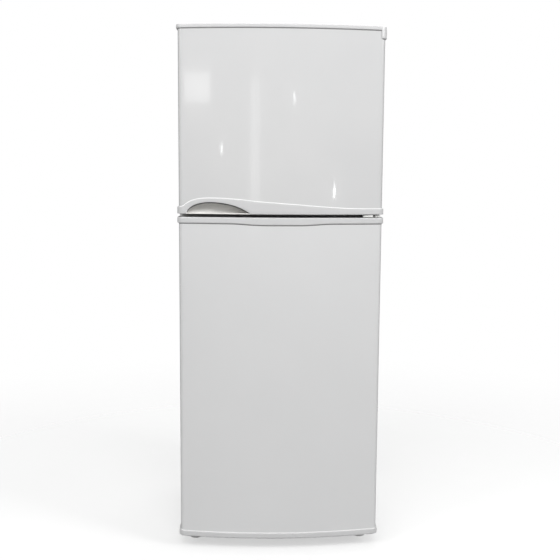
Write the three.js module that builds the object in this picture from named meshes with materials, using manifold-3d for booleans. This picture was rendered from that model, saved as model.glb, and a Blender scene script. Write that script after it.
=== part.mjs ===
// A two-door refrigerator with the freezer on top, as an assembly of its separate pieces.
//
// Frame: millimetres, +Z up, origin on the floor under the middle of the object. The doors face -Y
// and hinge on the right, at +X. Both doors bulge forward in plan. The freezer door is opened by a
// grip cup at its lower left corner, and the refrigerator door by a trough hidden behind its top edge.

import * as THREE from "three";
import { mergeVertices } from "three/addons/utils/BufferGeometryUtils.js";
import Module from "manifold-3d";

const wasm = await Module();
wasm.setup();

// ---------------------------------------------------------------- driving dimensions, millimetres

const WIDTH = 600; // over the doors' end caps
const HEIGHT = 1540;
const DEPTH = 650;
const GAP = 0.3; // air between pieces that touch
const SHEET = 1.2; // painted steel and vacuum-formed skins

const CABINET = { half: 296, front: -232, back: 296, top: 1530, foot: 30 };
const DOOR = {
  rear: CABINET.front - 10, // the gasket fills these 10 mm
  half: 295,
  bulge: 81, // thickness in the middle
  edge: 53, // thickness where the front face meets the rounded corner
  corner: 14,
};
const CAP = { half: WIDTH / 2, bulge: DEPTH / 2 + DOOR.rear, corner: 19, wall: 2.5, floor: 4 };
const FRIDGE_DOOR = { foot: 38, height: 960 };
const FREEZER_DOOR = { foot: 1007, height: HEIGHT - 1007 };

const PIN = { x: 281, y: -26, radius: 4, hole: 4.4, boss: 11, reach: 22 }; // y is from the door's rear
const MULLION = { low: 973, high: 1033 };
const FREEZER = { half: 238, floor: 1036, ceiling: 1472, back: 230 };
const FRIDGE = { half: 251, floor: 112, ceiling: 970, back: 252 };
const STEP = { front: 95, back: 128, top: 312 }; // the raised floor over the compressor
const FLANGE = 256; // half-width where the cabinet's steel flange meets the liners' flange
const FLANGE_TOP = 1491;
const LINER = 2;

// ---------------------------------------------------------------- materials

const finish = (color, roughness, metalness = 0) =>
  new THREE.MeshStandardMaterial({ color, roughness, metalness });
const whitePaint = finish(0xdedede, 0.3);
const capPlastic = finish(0xd9d9d9, 0.35);
const cupPlastic = finish(0xb4b3ae, 0.5);
const linerPlastic = finish(0xf0f1ee, 0.4);
const foam = finish(0xe6d7a4, 0.95);
const gasketRubber = finish(0xcfd0ce, 0.7);
const clearPlastic = finish(0xdfeaf0, 0.15);
const glass = finish(0xcfe3dc, 0.05);
const zincSteel = finish(0xb5b8bb, 0.4, 0.9);
const blackEnamel = finish(0x1c1d1f, 0.45);
const darkPlastic = finish(0x2b2c2e, 0.6);
const aluminium = finish(0xc3c6c9, 0.35, 0.9);

// ---------------------------------------------------------------- shapes and solids

// A box from its lowest to its highest corner.
function block([x0, x1], [y0, y1], [z0, z1]) {
  return new THREE.BoxGeometry(x1 - x0, y1 - y0, z1 - z0).translate(
    (x0 + x1) / 2,
    (y0 + y1) / 2,
    (z0 + z1) / 2,
  );
}

const outline = (points) => new THREE.Shape(points.map(([u, v]) => new THREE.Vector2(u, v)));

// Prisms of a flat shape: one drawn in plan, one in side view (y, z), one in front view (x, z).
function alongZ(shape, z0, z1, curveSegments = 8) {
  const options = { depth: z1 - z0, bevelEnabled: false, curveSegments };
  return new THREE.ExtrudeGeometry(shape, options).translate(0, 0, z0);
}
function alongX(shape, x0, x1, curveSegments = 8) {
  const turn = new THREE.Matrix4().set(0, 0, 1, x0, 1, 0, 0, 0, 0, 1, 0, 0, 0, 0, 0, 1);
  return alongZ(shape, 0, x1 - x0, curveSegments).applyMatrix4(turn);
}
function alongY(shape, y0, y1, curveSegments = 8) {
  return alongZ(shape, 0, y1 - y0, curveSegments).rotateX(Math.PI / 2).translate(0, y1, 0);
}

// Round bars about an upright, a left-to-right and a front-to-back axis.
function uprightBar(radius, x, y, z0, z1, sides = 24) {
  return new THREE.CylinderGeometry(radius, radius, z1 - z0, sides)
    .rotateX(Math.PI / 2)
    .translate(x, y, (z0 + z1) / 2);
}
function crossBar(radius, x0, x1, y, z, sides = 24) {
  return new THREE.CylinderGeometry(radius, radius, x1 - x0, sides)
    .rotateY(Math.PI / 2) // a vertex at the lowest point
    .rotateZ(Math.PI / 2)
    .translate((x0 + x1) / 2, y, z);
}
function deepBar(radius, x, y0, y1, z, sides = 24) {
  return new THREE.CylinderGeometry(radius, radius, y1 - y0, sides).translate(x, (y0 + y1) / 2, z);
}

// A body of revolution about Z from its (radius, height) profile, listed upwards.
function turned(profile, sides = 24) {
  const points = profile.map(([r, z]) => new THREE.Vector2(r, z));
  return new THREE.LatheGeometry(points, sides).rotateX(Math.PI / 2);
}

function toSolid(geometry) {
  const bare = geometry.clone();
  for (const name of Object.keys(bare.attributes)) {
    if (name !== "position") bare.deleteAttribute(name);
  }
  const merged = mergeVertices(bare, 1e-4);
  return new wasm.Manifold(
    new wasm.Mesh({
      numProp: 3,
      vertProperties: new Float32Array(merged.attributes.position.array),
      triVerts: new Uint32Array(merged.index.array),
    }),
  );
}
function toGeometry(solid) {
  const { vertProperties, triVerts } = solid.getMesh();
  const geometry = new THREE.BufferGeometry();
  geometry.setAttribute("position", new THREE.BufferAttribute(vertProperties, 3));
  geometry.setIndex(new THREE.BufferAttribute(triVerts, 1));
  return geometry.toNonIndexed();
}
const fold = (operation) => (first, ...rest) =>
  toGeometry(rest.reduce((solid, next) => solid[operation](toSolid(next)), toSolid(first)));
const join = fold("add");
const cut = fold("subtract");
const common = fold("intersect");

function piece(name, geometry, material) {
  geometry.computeVertexNormals();
  const mesh = new THREE.Mesh(geometry, material);
  mesh.name = name;
  return mesh;
}

// An open-topped tray, rack or drawer: a box less its inside.
function openBox([x0, x1], [y0, y1], [z0, z1], wall) {
  return cut(
    block([x0, x1], [y0, y1], [z0, z1]),
    block([x0 + wall, x1 - wall], [y0 + wall, y1 - wall], [z0 + wall, z1 + wall]),
  );
}

// ---------------------------------------------------------------- door plan

// The front face is part of one large circle, so that it stands DOOR.bulge out in the middle.
const FRONT_X = DOOR.half - DOOR.corner + 2; // where the front face meets the rounded corner
const RISE = DOOR.bulge - DOOR.edge;
const FRONT_RADIUS = (FRONT_X ** 2 + RISE ** 2) / (2 * RISE);
const FRONT_CENTRE = FRONT_RADIUS - DOOR.bulge;

// Plan of a door piece: straight back and sides, a bulged front, and a rounded front corner each side.
function doorPlan({ half, bulge, corner, rear = 0 }) {
  const radius = FRONT_CENTRE + bulge;
  const cornerX = half - corner;
  const cornerY = FRONT_CENTRE - Math.sqrt((radius - corner) ** 2 - cornerX ** 2);
  const meet = Math.asin(cornerX / (radius - corner));
  const right = -(Math.PI / 2 - meet);
  const left = -(Math.PI / 2 + meet);
  const plan = new THREE.Shape();
  plan.moveTo(half, rear);
  plan.lineTo(half, cornerY);
  plan.absarc(cornerX, cornerY, corner, 0, right, true);
  plan.absarc(0, FRONT_CENTRE, radius, right, left, true);
  plan.absarc(-cornerX, cornerY, corner, left, -Math.PI, true);
  plan.lineTo(-half, rear);
  plan.closePath();
  return plan;
}
const inset = (from, by, rear) => ({
  half: from.half - by,
  bulge: from.bulge - by,
  corner: from.corner - by,
  rear,
});

const SKIN_PLAN = doorPlan(inset(DOOR, 0, 0));
const SKIN_INSIDE = doorPlan(inset(DOOR, SHEET, -SHEET));
const FOAM_PLAN = doorPlan(inset(DOOR, SHEET + GAP, -2.7));
const CAP_PLAN = doorPlan(CAP);
const CAP_INSIDE = doorPlan(inset(CAP, CAP.wall, 5));

const LINER_HALF = 283.7; // the liner's plate, between the skin's rear returns
const LINER_PLATE = 2.4;
const FRONT = -100; // anything further forward than the door
const REAR = 20; // anything behind the door's back

// ---------------------------------------------------------------- door pieces that both doors have

// Painted steel skin, folded round the sides and a little way across the back.
function doorSkin(foot, top) {
  return cut(
    alongZ(SKIN_PLAN, foot, top),
    alongZ(SKIN_INSIDE, foot - 1, top + 1),
    block([-LINER_HALF - GAP, LINER_HALF + GAP], [-2 * SHEET, 1], [foot - 1, top + 1]),
  );
}

// Moulded bush in a cap that turns on a hinge pin.
const bush = (foot, top) => uprightBar(PIN.boss, PIN.x, PIN.y, foot, top);
const bushHole = (foot, top) => uprightBar(PIN.hole, PIN.x, PIN.y, foot - 1, top + 1);
const bushRoom = (foot, top) => uprightBar(PIN.boss + 0.6, PIN.x, PIN.y, foot, top);

// Inner panel: a flat plate with a raised frame that the racks hang in.
function doorLiner(foot, top, frame) {
  const { half, rib, low, high, deep, sill } = frame;
  return cut(
    join(
      block([-LINER_HALF, LINER_HALF], [-LINER_PLATE, 0], [foot, top]),
      block([-half, half], [-1, deep], [low, high]),
    ),
    block([-half + rib, half - rib], [0, deep + 1], [low + sill, high - sill]),
  );
}

// Magnetic seal: a rectangular ring between the liner and the cabinet's front flange.
const GASKET = { outer: 279, width: 16 };
function gasket(low, high) {
  const { outer, width } = GASKET;
  return cut(
    block([-outer, outer], [GAP, 9.4], [low, high]),
    block([-outer + width, outer - width], [0, 10], [low + width, high - width]),
  );
}

// ---------------------------------------------------------------- freezer door

const GRIP = { left: -272, crown: -205, right: -86, rise: 34 };
const LUG = { x: 284, foot: 499 };
const TOP_RIM = 11; // how much of the top cap shows above the skin
const TOP_DECK = FREEZER_DOOR.height - 12; // the cap's sunken deck, which the hinge arm passes over

// The arch of the grip, or one grown by the given amount, on its base line.
function gripArch(grow, base) {
  const { left, crown, right, rise } = GRIP;
  const arch = new THREE.Shape();
  arch.moveTo(left - grow, base);
  arch.bezierCurveTo(left - grow, 20 + grow, crown - 35, rise + grow, crown, rise + grow);
  arch.bezierCurveTo(crown + 55, rise + grow, right - 25 + grow, 18 + grow, right + grow, base);
  arch.closePath();
  return arch;
}

// The line where the freezer door's skin meets its lower cap sweeps up over the grip and falls to the
// hinge side. The shape is everything under that line, raised by the given amount.
function underSweep(raise) {
  const sweep = new THREE.Shape();
  sweep.moveTo(-310, -5);
  sweep.lineTo(-310, 21 + raise);
  sweep.lineTo(-290, 21 + raise);
  sweep.bezierCurveTo(-270, 24 + raise, -275, 46 + raise, -205, 46.5 + raise);
  sweep.bezierCurveTo(-130, 47 + raise, -100, 39 + raise, -40, 35 + raise);
  sweep.bezierCurveTo(60, 29 + raise, 150, 18 + raise, 235, 17.5 + raise);
  sweep.lineTo(310, 17.5 + raise);
  sweep.lineTo(310, -5);
  sweep.closePath();
  return sweep;
}

function freezerSkin() {
  return cut(
    doorSkin(8, FREEZER_DOOR.height - TOP_RIM),
    alongY(underSweep(GAP), FRONT, REAR),
    block([LUG.x - 0.5, 310], [FRONT, REAR], [LUG.foot - 0.5, 600]),
  );
}

const CUP = { back: -37, wall: 2.4, grow: 9 };

function freezerBottomCap() {
  return cut(
    join(
      cut(
        common(alongZ(CAP_PLAN, 0, 60), alongY(underSweep(0), FRONT, REAR)),
        alongZ(CAP_INSIDE, CAP.floor, 61),
      ),
      bush(0, PIN.reach + 2),
    ),
    bushHole(0, PIN.reach + 2),
    alongY(gripArch(0, -1), FRONT, CUP.back),
    common(
      alongZ(doorPlan(inset(CAP, CAP.wall, 5)), -1, 61),
      alongY(gripArch(CUP.grow + GAP, -1), FRONT, CUP.back + GAP),
    ),
  );
}

// The hollow that the fingers reach into, behind the arch in the cap.
function gripCup() {
  const room = alongZ(doorPlan(inset(CAP, CAP.wall + GAP, 5)), GAP, 61);
  return cut(
    common(room, alongY(gripArch(CUP.grow, -1), FRONT, CUP.back)),
    alongY(gripArch(CUP.grow - CUP.wall, CUP.wall + GAP), FRONT, CUP.back - CUP.wall),
  );
}

function freezerTopCap() {
  const top = FREEZER_DOOR.height;
  const skinTop = top - TOP_RIM;
  const deckRoom = alongZ(doorPlan({ half: 291, bulge: 73, corner: 10, rear: 5 }), TOP_DECK, top + 5);
  return cut(
    join(
      alongZ(FOAM_PLAN, TOP_DECK - 9, skinTop + 0.5),
      alongZ(CAP_PLAN, skinTop + GAP, top),
      common(alongZ(CAP_PLAN, LUG.foot, skinTop + 1), block([LUG.x, 310], [FRONT, 0], [0, 600])),
      bush(top - 12 - PIN.reach, TOP_DECK),
    ),
    deckRoom,
    bushHole(top - 40, TOP_DECK),
    block([280, 310], [-42, 10], [TOP_DECK, 600]), // clears the hinge arm as the door turns
  );
}

function freezerFoam() {
  return cut(
    alongZ(FOAM_PLAN, CAP.floor + GAP, TOP_DECK - 9 - GAP),
    bushRoom(0, PIN.reach + 2.5),
    bushRoom(FREEZER_DOOR.height - 12.5 - PIN.reach, 600),
    alongY(gripArch(CUP.grow + GAP, -1), FRONT, CUP.back + GAP),
    block([LUG.x - 0.5, 310], [FRONT, REAR], [LUG.foot - 0.5, 600]),
  );
}

const FREEZER_FRAME = { half: 222, rib: 24, low: 40, high: 455, deep: 38, sill: 18 };
const FREEZER_RACK = { half: FREEZER_FRAME.half - FREEZER_FRAME.rib - 0.6, tall: 85, deep: 80 };

function freezerRack(foot) {
  const { half, tall, deep } = FREEZER_RACK;
  return openBox([-half, half], [1, deep], [foot, foot + tall], 2.5);
}

function freezerDoor() {
  const door = new THREE.Group();
  door.position.set(0, DOOR.rear, FREEZER_DOOR.foot);
  const linerTop = FREEZER_DOOR.height - TOP_RIM;
  door.add(
    piece("freezer_door_skin", freezerSkin(), whitePaint),
    piece("freezer_door_top_cap", freezerTopCap(), capPlastic),
    piece("freezer_door_bottom_cap", freezerBottomCap(), capPlastic),
    piece("freezer_grip_cup", gripCup(), cupPlastic),
    piece("freezer_door_foam", freezerFoam(), foam),
    piece("freezer_door_liner", doorLiner(CAP.floor + GAP, linerTop, FREEZER_FRAME), linerPlastic),
    piece("freezer_door_gasket", gasket(7, 515), gasketRubber),
    piece("freezer_rack_upper", freezerRack(270), clearPlastic),
    piece("freezer_rack_lower", freezerRack(85), clearPlastic),
  );
  return door;
}

// ---------------------------------------------------------------- refrigerator door

const FRIDGE_CAP = { ends: 18, belly: 22.5, foot: 19 };
const TROUGH = { x0: -248, x1: -105, y0: -50, y1: -32, floor: 942, wall: 4 };

// Everything over the line where the skin meets the upper cap, which bellies down in the middle.
function overBelly(lower) {
  const ends = FRIDGE_DOOR.height - FRIDGE_CAP.ends - lower;
  const belly = FRIDGE_DOOR.height - FRIDGE_CAP.belly - lower;
  const over = new THREE.Shape();
  over.moveTo(-310, 970);
  over.lineTo(-310, ends);
  over.lineTo(-160, ends);
  over.bezierCurveTo(-110, ends, -90, belly, -50, belly);
  over.lineTo(50, belly);
  over.bezierCurveTo(90, belly, 110, ends, 160, ends);
  over.lineTo(310, ends);
  over.lineTo(310, 970);
  over.closePath();
  return over;
}

function fridgeSkin() {
  return cut(
    doorSkin(FRIDGE_CAP.foot + GAP, FRIDGE_DOOR.height - 8),
    alongY(overBelly(GAP), FRONT, REAR),
  );
}

function fridgeTopCap() {
  const top = FRIDGE_DOOR.height;
  const { x0, x1, y0, y1, floor, wall } = TROUGH;
  return cut(
    join(
      cut(
        common(alongZ(CAP_PLAN, 900, top), alongY(overBelly(0), FRONT, REAR)),
        alongZ(CAP_INSIDE, 899, top - CAP.floor),
      ),
      bush(top - PIN.reach - 2, top),
      block([x0 - wall, x1 + wall], [y0 - wall, y1 + wall], [floor - wall, top - 1]),
    ),
    bushHole(top - PIN.reach - 2, top),
    block([x0, x1], [y0, y1], [floor, top + 1]),
  );
}

function fridgeBottomCap() {
  return cut(
    join(
      cut(alongZ(CAP_PLAN, 0, FRIDGE_CAP.foot), alongZ(CAP_INSIDE, CAP.floor, 100)),
      bush(0, PIN.reach + 2),
    ),
    bushHole(0, PIN.reach + 2),
  );
}

function fridgeFoam() {
  const top = FRIDGE_DOOR.height - CAP.floor - GAP;
  const { x0, x1, y0, y1, floor, wall } = TROUGH;
  const room = wall + GAP;
  return cut(
    alongZ(FOAM_PLAN, CAP.floor + GAP, top),
    bushRoom(0, PIN.reach + 2.5),
    bushRoom(FRIDGE_DOOR.height - PIN.reach - 2.5, 1000),
    block([x0 - room, x1 + room], [y0 - room, y1 + room], [floor - room, 1000]),
  );
}

const FRIDGE_FRAME = { half: 236, rib: 26, low: 84, high: 922, deep: 40, sill: 20 };
const RACK_HALF = FRIDGE_FRAME.half - FRIDGE_FRAME.rib - 0.6;
const RACK = { wall: 2.5, deep: 95 };

function fridgeRack(foot, tall) {
  return openBox([-RACK_HALF, RACK_HALF], [1, RACK.deep], [foot, foot + tall], RACK.wall);
}

// The dairy rack is shallower. Its right half has a flap, which turns between a divider and the end wall.
const DAIRY = { foot: 808, tall: 27, deep: 82, divider: 8, cheek: 4, top: 884 };
const FLAP = { y: 84, z: 877, pin: 3, hole: 3.4, long: 60, thick: 3 };

function dairyRack() {
  const { foot, tall, deep, divider, cheek, top } = DAIRY;
  const cheekAt = (x) => block([x, x + cheek], [1, FLAP.y + 6], [foot, top]);
  return cut(
    join(
      openBox([-RACK_HALF, RACK_HALF], [1, deep], [foot, foot + tall], RACK.wall),
      cheekAt(divider),
      cheekAt(RACK_HALF - cheek),
    ),
    crossBar(FLAP.hole, 0, RACK_HALF + 5, FLAP.y, FLAP.z),
  );
}

function dairyFlap() {
  const { y, z, pin, long, thick } = FLAP;
  const left = DAIRY.divider + DAIRY.cheek;
  const right = RACK_HALF - DAIRY.cheek;
  return join(
    block([left + 0.6, right - 0.6], [y - 1, y - 1 + thick], [z - long, z]),
    crossBar(pin + 0.6, left + 0.6, right - 0.6, y, z),
    crossBar(pin, left - 2, right + 2, y, z),
  );
}

function fridgeDoor() {
  const door = new THREE.Group();
  door.position.set(0, DOOR.rear, FRIDGE_DOOR.foot);
  const linerTop = FRIDGE_DOOR.height - CAP.floor - GAP;
  door.add(
    piece("fridge_door_skin", fridgeSkin(), whitePaint),
    piece("fridge_door_top_cap", fridgeTopCap(), capPlastic),
    piece("fridge_door_bottom_cap", fridgeBottomCap(), capPlastic),
    piece("fridge_door_foam", fridgeFoam(), foam),
    piece("fridge_door_liner", doorLiner(CAP.floor + GAP, linerTop, FRIDGE_FRAME), linerPlastic),
    piece("fridge_door_gasket", gasket(22, 953), gasketRubber),
    piece("dairy_rack", dairyRack(), clearPlastic),
    piece("dairy_flap", dairyFlap(), clearPlastic),
    piece("egg_rack", fridgeRack(500, 70), clearPlastic),
    piece("bottle_rack", fridgeRack(118, 110), clearPlastic),
  );
  return door;
}

// ---------------------------------------------------------------- cabinet shell and insulation

const INNER = CABINET.half - SHEET; // inside of the side panels
const DECK = { low: 58, bend: 120, rise: 161, high: 262 };

// Side panel with its front flange folded inwards.
function sidePanel(side) {
  const { half, front, back, top, foot } = CABINET;
  const edge = (x0, x1) => (side > 0 ? [x0, x1] : [-x1, -x0]);
  return join(
    block(edge(INNER, half), [front, back], [foot, top]),
    block(edge(FLANGE + GAP, half - 0.5), [front, front + SHEET], [DECK.low, top]),
  );
}

function topPanel() {
  const { front, back, top } = CABINET;
  const half = INNER - GAP;
  return join(
    block([-half, half], [front + SHEET + GAP, back], [top - SHEET, top]),
    block([-FLANGE, FLANGE], [front, front + SHEET], [FLANGE_TOP, top]),
    block([-FLANGE, FLANGE], [front, front + 4], [top - SHEET, top]),
  );
}

// The steel floor of the insulated box, stepped up over the compressor.
function bottomDeck() {
  const { low, bend, rise, high } = DECK;
  const front = CABINET.front + SHEET + GAP;
  const section = outline([
    [front, low],
    [bend, low],
    [rise, high],
    [CABINET.back - 3, high],
    [CABINET.back - 3, high + SHEET],
    [rise - 1, high + SHEET],
    [bend - 1, low + SHEET],
    [front, low + SHEET],
  ]);
  return alongX(section, -INNER + GAP, INNER - GAP);
}

function rearPanel() {
  const { back, top } = CABINET;
  const low = DECK.high + SHEET + GAP;
  return block([-INNER + GAP, INNER - GAP], [back - SHEET, back], [low, top - SHEET - GAP]);
}

// Side view of the refrigerator compartment, grown outwards by a wall or a gap.
function fridgeSection(grow, front) {
  const { floor, ceiling, back } = FRIDGE;
  const lift = grow * 0.85; // keeps the wall of the sloping riser as thick as the others
  return outline([
    [front, floor - grow],
    [STEP.front + lift, floor - grow],
    [STEP.back + lift, STEP.top - grow],
    [back + grow, STEP.top - grow],
    [back + grow, ceiling + grow],
    [front, ceiling + grow],
  ]);
}

function insulation() {
  const side = INNER - GAP;
  const low = DECK.low + SHEET + GAP;
  const high = DECK.high + SHEET + GAP;
  const back = CABINET.back - SHEET - GAP;
  const top = CABINET.top - SHEET - GAP;
  const front = CABINET.front + SHEET + GAP;
  const section = outline([
    [front, low],
    [DECK.bend - 1.6, low],
    [DECK.rise - 1.6, high],
    [back, high],
    [back, top],
    [front, top],
  ]);
  const wall = LINER + GAP;
  return cut(
    alongX(section, -side, side),
    alongX(fridgeSection(wall, FRONT * 3), -FRIDGE.half - wall, FRIDGE.half + wall),
    block(
      [-FREEZER.half - wall, FREEZER.half + wall],
      [FRONT * 3, FREEZER.back + wall],
      [FREEZER.floor - wall, FREEZER.ceiling + wall],
    ),
    block([-260, 260], [front - 1, CABINET.front + 4.5], [CABINET.top - 5, CABINET.top]),
  );
}

// Ledges on both side walls that a shelf slides in on.
function ledges(half, levels, y0, y1) {
  const deep = 7;
  const tall = 5;
  return levels.flatMap((z) => [
    block([half - deep, half + 1], [y0, y1], [z - tall, z]),
    block([-half - 1, -half + deep], [y0, y1], [z - tall, z]),
  ]);
}

const SHELF = { freezer: 1250, upper: 790, lower: 560, crisper: 318, thick: 6 };

function freezerLiner() {
  const { half, floor, ceiling, back } = FREEZER;
  const { front } = CABINET;
  const shell = cut(
    join(
      block([-half - LINER, half + LINER], [front, back + LINER], [floor - LINER, ceiling + LINER]),
      block([-FLANGE, FLANGE], [front, front + SHEET], [MULLION.high + GAP, FLANGE_TOP - GAP]),
    ),
    block([-half, half], [front - 10, back], [floor, ceiling]),
  );
  return join(shell, ...ledges(half, [SHELF.freezer], -150, 145));
}

function fridgeLiner() {
  const { half } = FRIDGE;
  const { front } = CABINET;
  const shell = cut(
    join(
      alongX(fridgeSection(LINER, front), -half - LINER, half + LINER),
      block([-FLANGE, FLANGE], [front, front + SHEET], [DECK.low + SHEET, MULLION.low - GAP]),
    ),
    alongX(fridgeSection(0, front - 10), -half, half),
  );
  return join(shell, ...ledges(half, [SHELF.upper, SHELF.lower, SHELF.crisper], -120, 245));
}

function mullionRail() {
  const { front } = CABINET;
  return block([-FLANGE, FLANGE], [front, front + SHEET], [MULLION.low, MULLION.high]);
}

// ---------------------------------------------------------------- base, feet and rollers

const RAIL = { front: -225, back: -185, low: 28, top: DECK.low - GAP, sheet: 2 };
const FOOT = { x: 255, y: -205, pad: 17, stem: 5, tall: 9, top: 55 };

function frontRail() {
  const { front, back, low, top, sheet } = RAIL;
  const side = INNER - GAP;
  return cut(
    block([-side, side], [front, back], [low, top]),
    block([-side - 1, side + 1], [front + sheet, back + 1], [low + sheet, top + 1]),
    uprightBar(FOOT.stem + 0.4, FOOT.x, FOOT.y, low - 1, low + 5),
    uprightBar(FOOT.stem + 0.4, -FOOT.x, FOOT.y, low - 1, low + 5),
  );
}

// Screwed foot: a round pad on a threaded stem.
function foot(side) {
  const { x, y, pad, stem, tall, top } = FOOT;
  const profile = [
    [0, 0],
    [pad - 1, 0],
    [pad, 1],
    [pad, tall - 3],
    [pad - 5, tall],
    [stem, tall],
    [stem, top],
    [0, top],
  ];
  return turned(profile).translate(side * x, y, 0);
}

const KICK = { front: -230.5, back: -227, low: 14, top: 54, left: -292, right: 222 };
function kickPlate() {
  const { front, back, low, top, left, right } = KICK;
  return join(
    block([left, right], [front, back], [low, top]),
    block([left + 10, right - 10], [front + 1, RAIL.front - GAP], [RAIL.low + 6, top - 4]),
  );
}

const ROLLER = { x: 252, y: 262, radius: 15, width: 18, axle: 3, cheek: 3 };
const TRAY = { front: 150, back: DEPTH / 2, low: 40, sheet: 2, lip: 6 };

// The plate that the compressor stands on, with a pair of cheeks under it for each rear roller.
function compressorTray() {
  const side = INNER - GAP;
  const { front, back, low, sheet, lip } = TRAY;
  const { x, y, radius, width, axle, cheek } = ROLLER;
  const inner = width / 2 + 1;
  const cheekAt = (centre, shift) =>
    block([centre + shift, centre + shift + cheek], [y - 12, y + 12], [7, low + 1]);
  return cut(
    join(
      block([-side, side], [front, back], [low, low + sheet]),
      block([-side, side], [back - sheet, back], [low, low + sheet + lip]),
      ...[-x, x].flatMap((c) => [cheekAt(c, inner), cheekAt(c, -inner - cheek)]),
    ),
    crossBar(axle + 0.4, -x - 40, x + 40, y, radius),
  );
}

function roller(side) {
  const { x, y, radius, width, axle } = ROLLER;
  const centre = side * x;
  return join(
    crossBar(radius, centre - width / 2, centre + width / 2, y, radius, 32),
    crossBar(axle, centre - width / 2 - 5, centre + width / 2 + 5, y, radius),
  );
}

// ---------------------------------------------------------------- hinges

const AXIS_Y = DOOR.rear + PIN.y; // the doors' hinge axis, in the object's frame

// An arm in plan round the pin, with a second rounded corner and a straight root at the cabinet.
function armPlan(noseLeft, noseRight, root, left, right) {
  const arm = new THREE.Shape();
  arm.moveTo(PIN.x + left, AXIS_Y + root);
  arm.lineTo(PIN.x + left, AXIS_Y + noseLeft);
  arm.lineTo(PIN.x + noseRight, AXIS_Y + noseLeft);
  arm.absarc(PIN.x, AXIS_Y, 6.5, -Math.PI * 0.6, Math.PI * 0.1, false);
  arm.lineTo(PIN.x + right, AXIS_Y + root);
  arm.closePath();
  return arm;
}

// Top hinge: a flat arm screwed to the cabinet's roof, with a pin down into the freezer door.
const TOP_HINGE = { low: CABINET.top + GAP, thick: 3, back: 95, left: -46, right: -16 };
function topHinge() {
  const { low, thick, back, left, right } = TOP_HINGE;
  const plate = alongZ(armPlan(6, -7, back, left, right), low, low + thick, 6);
  const pinFoot = FREEZER_DOOR.foot + FREEZER_DOOR.height - 12 - PIN.reach + 3;
  return join(plate, uprightBar(PIN.radius, PIN.x, AXIS_Y, pinFoot, low + 1));
}

function topHingeCover() {
  const { low, thick, back, left } = TOP_HINGE;
  const x = [PIN.x + left - 4, PIN.x + 10];
  const y = [CABINET.front + 3, AXIS_Y + back + 6];
  const inside = 3.4;
  return cut(
    block(x, y, [low, HEIGHT - 0.4]),
    block(
      [x[0] + inside, x[1] - inside],
      [y[0] - 5, y[1] - inside],
      [low - 1, low + thick + 1],
    ),
  );
}

// Middle hinge: an arm in the gap between the doors, with a pin up and a pin down.
const GAP_MIDDLE = (FREEZER_DOOR.foot + FRIDGE_DOOR.foot + FRIDGE_DOOR.height) / 2;
function middleHinge() {
  const thick = 4;
  const arm = alongZ(
    armPlan(-10, -14, AXIS_Y * -1 + CABINET.front - GAP, -42, 9),
    GAP_MIDDLE - thick / 2,
    GAP_MIDDLE + thick / 2,
    6,
  );
  const reach = PIN.reach - 2;
  return join(
    arm,
    block([PIN.x - 56, 290], [CABINET.front - 2.7, CABINET.front - GAP], [993, 1012]),
    uprightBar(PIN.radius, PIN.x, AXIS_Y, GAP_MIDDLE - reach, GAP_MIDDLE + reach),
    uprightBar(8, PIN.x, AXIS_Y, GAP_MIDDLE - 3.9, GAP_MIDDLE + 3.9),
  );
}

// Bottom hinge: a bracket on the front rail that carries the refrigerator door on its pin.
function bottomHinge() {
  const plate = { low: 30, top: 34 };
  const face = [RAIL.front - 5, RAIL.front - GAP];
  const arm = alongZ(armPlan(-8, -12, face[0] - AXIS_Y + 2, -46, 9), plate.low, plate.top, 6);
  return join(
    arm,
    block([226, 291], face, [18, 56]),
    uprightBar(PIN.radius, PIN.x, AXIS_Y, plate.low, FRIDGE_DOOR.foot + PIN.reach - 2),
    uprightBar(8, PIN.x, AXIS_Y, plate.low, FRIDGE_DOOR.foot - 0.5),
  );
}

// ---------------------------------------------------------------- cooling system

// A curve through listed points that gives exactly those points back, one for each extrusion step.
class Route extends THREE.Curve {
  constructor(points) {
    super();
    this.points = points;
  }
  getPoint(t) {
    const at = t * (this.points.length - 1);
    const i = Math.min(Math.floor(at), this.points.length - 2);
    return this.points[i].clone().lerp(this.points[i + 1], at - i);
  }
  getPointAt(t) {
    return this.getPoint(t);
  }
  getTangentAt(t) {
    const last = this.points.length - 1;
    const i = Math.round(t * last);
    const ahead = this.points[Math.min(i + 1, last)];
    return ahead.clone().sub(this.points[Math.max(i - 1, 0)]).normalize();
  }
}
function tube(points, radius, sides = 8) {
  const section = new THREE.Shape();
  section.absarc(0, 0, radius, 0, 2 * Math.PI, false);
  return new THREE.ExtrudeGeometry(section, {
    extrudePath: new Route(points),
    steps: points.length - 1,
    bevelEnabled: false,
    curveSegments: sides / 2,
  });
}

// The condenser: one pipe folded to and fro across the back, on clips that stand it off the panel.
const CONDENSER = { half: 232, low: 340, pitch: 70, passes: 15, y: 312, pipe: 3, bend: 6 };
const clipAt = (x, z) => block([x - 6, x + 6], [CABINET.back + GAP, CONDENSER.y + 1], [z - 5, z + 5]);
function condenser() {
  const { half, low, pitch, passes, y, pipe, bend } = CONDENSER;
  const points = [];
  for (let pass = 0; pass < passes; pass += 1) {
    const z = low + pass * pitch;
    const side = pass % 2 ? -1 : 1;
    points.push(new THREE.Vector3(-side * (half - pitch / 2), y, z));
    const steps = pass < passes - 1 ? bend : 0;
    points.push(new THREE.Vector3(side * (half - pitch / 2), y, z));
    for (let i = 1; i < steps; i += 1) {
      const turn = (Math.PI * i) / steps;
      const reach = half - pitch / 2 + (pitch / 2) * Math.sin(turn);
      const rise = (pitch / 2) * (1 - Math.cos(turn));
      points.push(new THREE.Vector3(side * reach, y, z + rise));
    }
  }
  const clips = [2, 7, 12].flatMap((pass) => [-150, 150].map((x) => clipAt(x, low + pass * pitch)));
  return join(tube(points, pipe), ...clips);
}

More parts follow.
